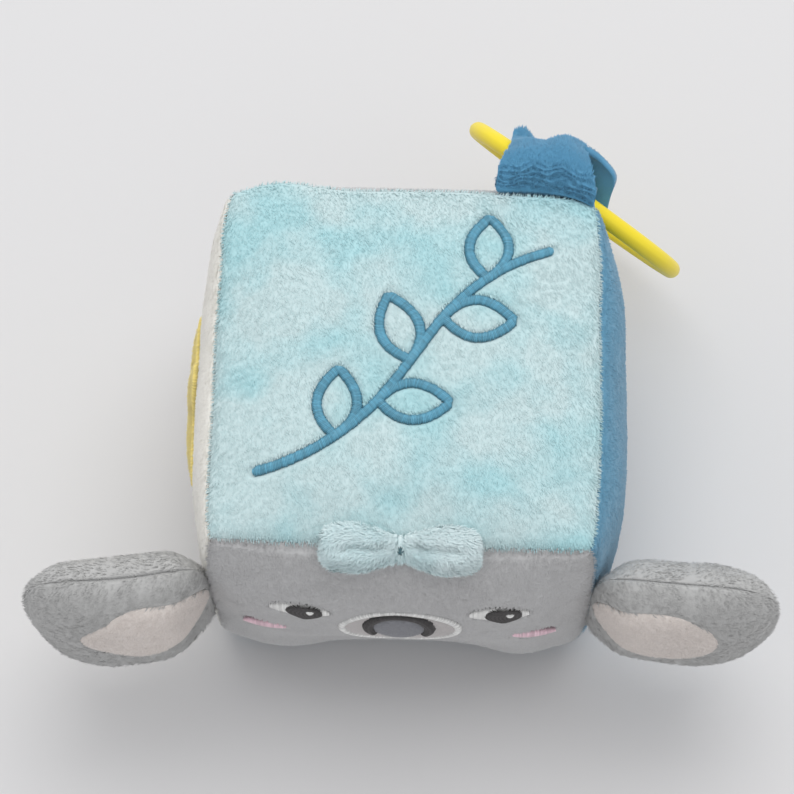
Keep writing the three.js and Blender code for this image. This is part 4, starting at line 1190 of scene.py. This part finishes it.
def loftedPlush(name, shape, centre, nap, lay, stations, steps):
    # A closed lofted cushion with pile: rings of points from -1 to 1 along it, shut at both ends.
    stations, steps = (int(x * (1)) for x in (stations, steps))
    lay = np.asarray(lay, float)
    around = np.linspace(-1, 1, steps, endpoint=False)
    a, b = np.meshgrid(np.linspace(-1, 0.998, stations), around, indexing="ij")
    n, side = normalsOf(shape, a, b, centre)
    p = shape(a, b)
    _, lock = layAt(p, n, lay, nap)
    points, quads, tris = tube(p + n * (nap["relief"] * lock)[..., None], side < 0)
    uv = np.concatenate([sheetUv(a, b).reshape(-1, 2), [[0.01, 0.5], [0.99, 0.5]]])
    cushion = putMesh(name, points, quads, tris, clothMarks(lock, 2, 0.6), uv)
    return cushion, growPile(name + "_pile", shape, centre, nap, lay)


fluff = napOf(perSquare=9.0, pile=1.9, width=0.22, lean=44, curl=72, relief=0.2, loft=0.0, lockLong=3.4,
              lockWide=0.8, scatter=0.35, sway=2.4, swayCell=6.0)
for side, sign in bothSides:
    own = "bow_" + side
    start, end = (bowPlace(sign * bow[key], 0.0, 1.8) for key in ("bendFrom", "bendTo"))
    cloths = loftedPlush(own + "_wing_plush", partial(wingShape, sign), bowPlace(sign * 12.0, 0.0, 1.0),
                         {**fluff, "seed": 93 + sign, "area": 760}, (sign * 0.9, -0.3, -0.25), 60, 72)
    bend = {"from": "block", "start": start, "end": end}
    dressPlush(cloths, own, "bow", own + "_wing", bend)
cloths = loftedPlush("bow_knot_plush", knotShape, bowPlace(0.0, 0.0, 1.5),
                     {**fluff, "seed": 96, "area": 70, "pile": 1.5}, (0, -0.8, -0.6), 24, 48)
dressPlush(cloths, "block", "bow", "bow_knot")


def onBow(s, m, lift):
    over = 2 * bow["knotThick"] * np.sqrt(np.clip(1 - (m / bow["tackWide"]) ** 2, 0, 1))
    return bowPlace(s, m, bow["lift"] + over - bow["drape"] * (m / bow["end"]) ** 2 + lift)


tackFrom = [[-0.5, -1.1], [0.0, -1.4], [0.5, -1.0], [-0.9, 0.2]]
tackTo = [[0.4, 1.3], [0.1, 1.2], [-0.5, 1.0], [0.9, 0.0]]
piece = satin("bow_tack_stitches", onBow, tackFrom, tackTo, 0.35, 0.4, 0.24, 97, points=8)
dress(piece, "block", thread["tack"])
print("bow made")


# Ring and its loop.

ring = {
    "tube": 2.65, "radius": 36.2, "bearing": 53.13, "kick": 21.5, "offset": 4.0, "steps": 220, "sides": 36,
    "mouldLine": 0.05, "mouldWide": 0.07,
}
plastic = {
    "colour": (1.0, 0.78, 0.035), "darker": 0.93, "lighter": 1.05, "cloudScale": 60.0, "smooth": 0.34,
    "dull": 0.46, "grainScale": 1400.0, "grain": 0.08, "grainDeep": 0.1, "specular": 0.35,
}
hold = np.array([37.8, 68.8, 84.0])     # where the loop holds the ring
bearing, kick = math.radians(ring["bearing"]), math.radians(ring["kick"])
outRing = np.array([math.cos(bearing), math.sin(bearing), 0])
alongRing = np.array([math.sin(bearing), -math.cos(bearing), 0])
downRing = outRing * math.sin(kick) + np.array([0, 0, -math.cos(kick)])
ringNormal = np.cross(alongRing, downRing)
strapAngle = math.asin(-ring["offset"] / ring["radius"])
ringMiddle = hold + ring["radius"] * (downRing * math.cos(strapAngle) - alongRing * math.sin(strapAngle))
hingeAxis = alongRing * math.cos(strapAngle) + downRing * math.sin(strapAngle)


def ringMesh():
    # A doughnut: middle + (R + r cos q)(alongRing sin t - downRing cos t) + r sin q normal, with a fine
    # mould line.
    turns = [2 * np.pi * np.arange(ring[key]) / ring[key] for key in ("steps", "sides")]
    t, q = np.meshgrid(*turns, indexing="ij")
    spoke = alongRing * np.sin(t)[..., None] - downRing * np.cos(t)[..., None]
    r = ring["tube"] + ring["mouldLine"] * np.exp(-(np.sin(q) / ring["mouldWide"]) ** 2)
    p = ringMiddle + spoke * (ring["radius"] + r * np.cos(q))[..., None]
    p = (p + ringNormal * (r * np.sin(q))[..., None]).reshape(-1, 3)
    quads = wrapQuads(ring["steps"], ring["sides"], closed=True)
    face = p[quads[0]]
    away = face.mean(0) - (ringMiddle + spoke[0, 0] * ring["radius"])
    if np.dot(np.cross(face[1] - face[0], face[3] - face[0]), away) <= 0:
        quads = quads[:, ::-1]
    uv = np.stack([0.5 - 0.49 * np.cos(t), 0.5 - 0.49 * np.cos(q)], -1).reshape(-1, 2)
    return putMesh("teether_ring_smooth", p, quads, None, None, uv)


def plasticMaterial(name):
    # Faint clouds in colour and gloss, and a fine grain.
    material, tree, shader = newMaterial(name)
    base = plastic["colour"]
    place = addNode(tree, "TexCoord").outputs["Object"]
    cloudy = noiseOver(tree, place, Scale=plastic["cloudScale"], Detail=3.0)
    grain = noiseOver(tree, place, Scale=plastic["grainScale"], Detail=2.0)
    dark = (*[c * plastic["darker"] for c in base], 1)
    light = (*[min(1, c * plastic["lighter"]) for c in base], 1)
    rough = addNode(tree, "MapRange", Value=cloudy, To_Min=plastic["smooth"], To_Max=plastic["dull"])
    setInputs(tree, shader, Base_Color=mixed(tree, cloudy, dark, light), Roughness=rough.outputs["Result"],
              Normal=bumpNormal(tree, grain, plastic["grain"], plastic["grainDeep"]),
              Specular_IOR_Level=plastic["specular"])
    material.diffuse_color = (*base, 1)
    return material


dress(ringMesh(), "ring", plasticMaterial("yellowPlastic"), ("teether_ring",))

# swings are the angles at which the loop makes room for the ring, the ring's own place last.
loop = {
    "cloth": 1.9, "clear": 0.25, "swings": (60, 45, 30, 15, -16, 0), "thin": 0.6, "insideFrom": 0.04,
    "wrinkle": 0.24, "wrinkleGap": 1.35, "wrinkleRows": 2.7, "rowLong": 3.4, "waver": 1.5,
    "waverCell": (4.5, 3.0, 9.0), "fold": 0.55, "foldCell": 7.5, "relief": 0.16, "lay": (0.1, 0.9, -0.4),
}
loopLines = np.array([
    [[23.6, 54.5, 101.4], [23.9, 57.5, 103.6], [24.4, 60.7, 104.8], [25.7, 65, 103], [27.8, 70.7, 98],
     [28.2, 74.6, 93], [28.6, 78.6, 88], [28.8, 81.0, 82], [28.6, 79.6, 76], [28.2, 74, 74.4],
     [27.8, 67.5, 77.5], [27, 62.3, 86.5], [26, 58.3, 94], [25, 54.4, 98]],
    [[30.8, 54.7, 101.4], [30.6, 57.4, 104.2], [30.7, 60.9, 106], [31, 66, 104.5], [32, 72.3, 98.5],
     [32.4, 74.8, 93], [33.2, 77.2, 87.5], [34, 77.6, 81.6], [34.3, 74.6, 76.6], [34, 69, 75.2],
     [33.4, 64.6, 79], [32.5, 62, 86.5], [31.3, 58.2, 94], [30.5, 54.4, 98]],
    [[38.7, 54.3, 101.4], [38.2, 57.2, 104.4], [37.8, 61, 106.3], [37.3, 65.5, 105], [36.9, 71.4, 99],
     [38, 74.2, 93.5], [39, 76, 88], [39.8, 74.5, 81.8], [40.2, 70.5, 77.4], [39.8, 65.5, 76.3],
     [39, 62.3, 80], [38, 60.5, 86.5], [36.9, 57.3, 94], [36, 54.4, 98]],
    [[45.6, 52.7, 101.2], [45.1, 55.6, 104.4], [44.3, 60, 106.3], [43.5, 66.3, 104.5], [43, 73.5, 98.5],
     [44.2, 75.6, 93.5], [47, 75.2, 87.5], [48.6, 71.5, 81], [49, 66.5, 76.8], [48, 61.2, 76],
     [46.8, 58.8, 80], [45.8, 58.4, 86.5], [44.8, 56.6, 94], [44.2, 54.2, 98]],
    [[51.3, 50.5, 100.3], [51.7, 53.3, 103.6], [50.8, 59, 104.8], [49.7, 65.2, 102], [48.6, 71.2, 96.5],
     [51, 72.5, 94], [54.8, 71.2, 90.5], [58.9, 67.4, 86], [57.8, 63.4, 80], [56.4, 58.2, 74.8],
     [53.6, 55.4, 77.6], [52.3, 55.2, 85.5], [51.4, 54.8, 93], [50.6, 53.6, 97.6]],
])


def fourShares(t):
    # Shares of the four nearest points of a smooth line that passes through the middle two, t = 0..1 between
    # them.
    square, cube = t ** 2, t ** 3
    shares = [-t + 2 * square - cube, 2 - 5 * square + 3 * cube, t + 4 * square - 3 * cube, cube - square]
    return np.stack(shares, -1) / 2


def swung(p, degrees):
    # Turned about the hinge: v cos + (axis x v) sin + axis (axis . v)(1 - cos), v measured from `hold`.
    v, turn = p - hold, math.radians(degrees)
    along = (v * hingeAxis).sum(-1, keepdims=True) * hingeAxis
    return hold + v * math.cos(turn) + np.cross(hingeAxis, v) * math.sin(turn) + along * (1 - math.cos(turn))


def clearOfRing(p, least):
    # Spots nearer than `least` to the ring's middle line, wherever it swings, move out: gap becomes
    # (gap^8 + least^8)^(1/8). Also gives the way out from the ring's own place.
    for degrees in loop["swings"]:
        q = swung(p, -degrees)
        spoke = q - ringMiddle
        spoke = unit(spoke - ringNormal * (spoke * ringNormal).sum(-1, keepdims=True))
        nearest = ringMiddle + ring["radius"] * spoke
        off = q - nearest
        gap = np.maximum(np.linalg.norm(off, axis=-1, keepdims=True), 1e-3)
        away = off / gap
        p = swung(nearest + away * (gap ** 8 + least ** 8) ** (1 / 8), degrees)
    return p, away


loopTable = loopLines
for axis in (0, 1):         # one more line and one more point beyond each edge
    first, second, beforeLast, last = (np.take(loopTable, [k], axis) for k in (0, 1, -2, -1))
    loopTable = np.concatenate([2 * first - second, loopTable, 2 * last - beforeLast], axis)


def loopOutside(a, b):
    # A smooth surface through the lines, a across the loop and b once round it, with wrinkles
    # cos(2 pi place / wrinkleGap) along the seam and slow folds further on.
    lines, rows = loopLines.shape[0] - 1, loopLines.shape[1] - 1
    i, j = np.clip((a + 1) / 2, 0, 1) * lines, np.clip((b + 1) / 2, 0, 1) * rows
    i0, j0 = np.minimum(i.astype(int), lines - 1), np.minimum(j.astype(int), rows - 1)
    wi, wj = fourShares(i - i0), fourShares(j - j0)
    p = sum((wi[..., m] * wj[..., k])[..., None] * loopTable[i0 + m, j0 + k] for m, k in np.ndindex(4, 4))
    p, away = clearOfRing(p, ring["tube"] + loop["clear"] + loop["cloth"])
    waver = lattice(p, loop["waverCell"], 98) * loop["waver"]
    window = smooth(j / 0.4) * smooth((loop["wrinkleRows"] - j) / 1.4)
    wave = np.cos(2 * np.pi * (j * loop["rowLong"] + waver) / loop["wrinkleGap"])
    wrinkle = loop["wrinkle"] * wave * window
    fold = lattice(p, loop["foldCell"], 99) * loop["fold"] * smooth(np.minimum(j, rows - j) / 1.5)
    return p + away * fold[..., None] + wrinkle[..., None] * np.array([0, -0.3, 0.95])


def loopInside(a, b):
    # The outside moved in by the cloth along its normal, a little thinner at the seam, and kept off the ring.
    b = b * (1 - 2 * loop["insideFrom"])
    n, _ = normalsOf(loopOutside, a, b, loopCentre)
    atSeam = smooth((1 - np.abs(b)) / 2 / 0.12)
    p = loopOutside(a, b) - n * (loop["cloth"] * (loop["thin"] + (1 - loop["thin"]) * atSeam))[..., None]
    return clearOfRing(p, ring["tube"] + loop["clear"])[0]


loopCentre = hold - np.array([0, 4, 0])
loopNap = napOf(seed=403, area=3400, perSquare=7.5, pile=1.5, width=0.22, lean=42, curl=72, loft=0.0,
                relief=loop["relief"], scatter=0.28, twist=0.4, lockLong=2.0, lockWide=0.6)


def loopMesh():
    # Outside and bore are grids (across, round), closed round and joined to each other at both open sides.
    columns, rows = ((110, 220))
    a, b = np.meshgrid(np.linspace(-1, 1, columns), np.linspace(-1, 1, rows, endpoint=False), indexing="ij")
    outer, inner = loopOutside(a, b), loopInside(a, b)
    n, side = normalsOf(loopOutside, a, b, loopCentre)
    _, lock = layAt(outer, n, np.array(loop["lay"]), napOf(seed=401, lockLong=3.0, lockWide=0.7, sway=1.6))
    outer = outer + n * (loop["relief"] * lock)[..., None]
    total = columns * rows
    k = np.arange(rows)
    nextK = (k + 1) % rows
    end = (columns - 1) * rows
    quad = wrapQuads(columns, rows)
    nearRim = np.stack([k, nextK, total + nextK, total + k], -1)
    farRim = np.stack([end + nextK, end + k, total + end + k, total + end + nextK], -1)
    quads = np.concatenate([quad, quad[:, ::-1] + total, nearRim, farRim])
    if side < 0:
        quads = quads[:, ::-1]
    uv = [sheetUv(a, b, 0.3, 0.345).reshape(-1, 2), sheetUv(a, b, 0.01, 0.14).reshape(-1, 2)]
    points = np.concatenate([outer.reshape(-1, 3), inner.reshape(-1, 3)])
    return putMesh("ring_loop_plush", points, quads, None, clothMarks(np.stack([lock, lock * 0.5])),
                   np.concatenate(uv))


loopCloth = loopMesh()
loopPile = growPile("ring_loop_plush_pile", loopOutside, loopCentre, loopNap, np.array(loop["lay"]))
bend = {"from": "block", "start": (37.5, 53.6, 101.6), "end": (37.5, 60.0, 99.0)}
dressPlush((loopCloth, loopPile), "strap", "strap", "ring_strap", bend)
print("ring and loop made")


# Floor, light and camera.

stageLook = {
    "floor": (0.71, 0.705, 0.705), "floorSize": 6.0, "world": (0.97, 0.975, 1.0), "worldStrength": 0.64,
    "keyFrom": (0.12, 0.66, 1.9), "keySize": 1.9, "keyPower": 24.0,
    "cameraAt": (6.5, -281.0, 779.8), "cameraTo": (-3.08, 10.73, 50.0), "lens": 120.3,
}


def makeFloor():
    size = stageLook["floorSize"] / mm / 2
    corners = np.array([[-1, -1, 0], [1, -1, 0], [1, 1, 0], [-1, 1, 0]]) * size
    floor = putMesh("floor", corners, [[0, 1, 2, 3]])
    material, tree, shader = newMaterial("paleFloor")
    setInputs(tree, shader, Base_Color=(*stageLook["floor"], 1), Roughness=0.9, Specular_IOR_Level=0.1)
    floor.data.materials.append(material)


def aim(thing, at, to):
    thing.location = Vector(at)
    thing.rotation_euler = (Vector(to) - Vector(at)).to_track_quat("-Z", "Y").to_euler()


def makeLights():
    world = bpy.data.worlds.new("studio")
    world.use_nodes = True
    sky = world.node_tree.nodes["Background"]
    setInputs(world.node_tree, sky, Color=(*stageLook["world"], 1), Strength=stageLook["worldStrength"])
    bpy.context.scene.world = world
    lamp = bpy.data.lights.new("softbox", "AREA")
    lamp.shape = "DISK"
    lamp.size = stageLook["keySize"]
    lamp.energy = stageLook["keyPower"]
    key = bpy.data.objects.new("softbox", lamp)
    bpy.context.scene.collection.objects.link(key)
    aim(key, stageLook["keyFrom"], (0, 0, 0.05))


def makeCamera():
    data = bpy.data.cameras.new("camera")
    data.sensor_width = 36.0
    data.lens = stageLook["lens"]
    data.clip_end = 20.0
    camera = bpy.data.objects.new("camera", data)
    bpy.context.scene.collection.objects.link(camera)
    aim(camera, [x * mm for x in stageLook["cameraAt"]], [x * mm for x in stageLook["cameraTo"]])
    bpy.context.scene.camera = camera


makeFloor()
makeLights()
makeCamera()
bpy.context.scene.view_settings.view_transform = "Standard"
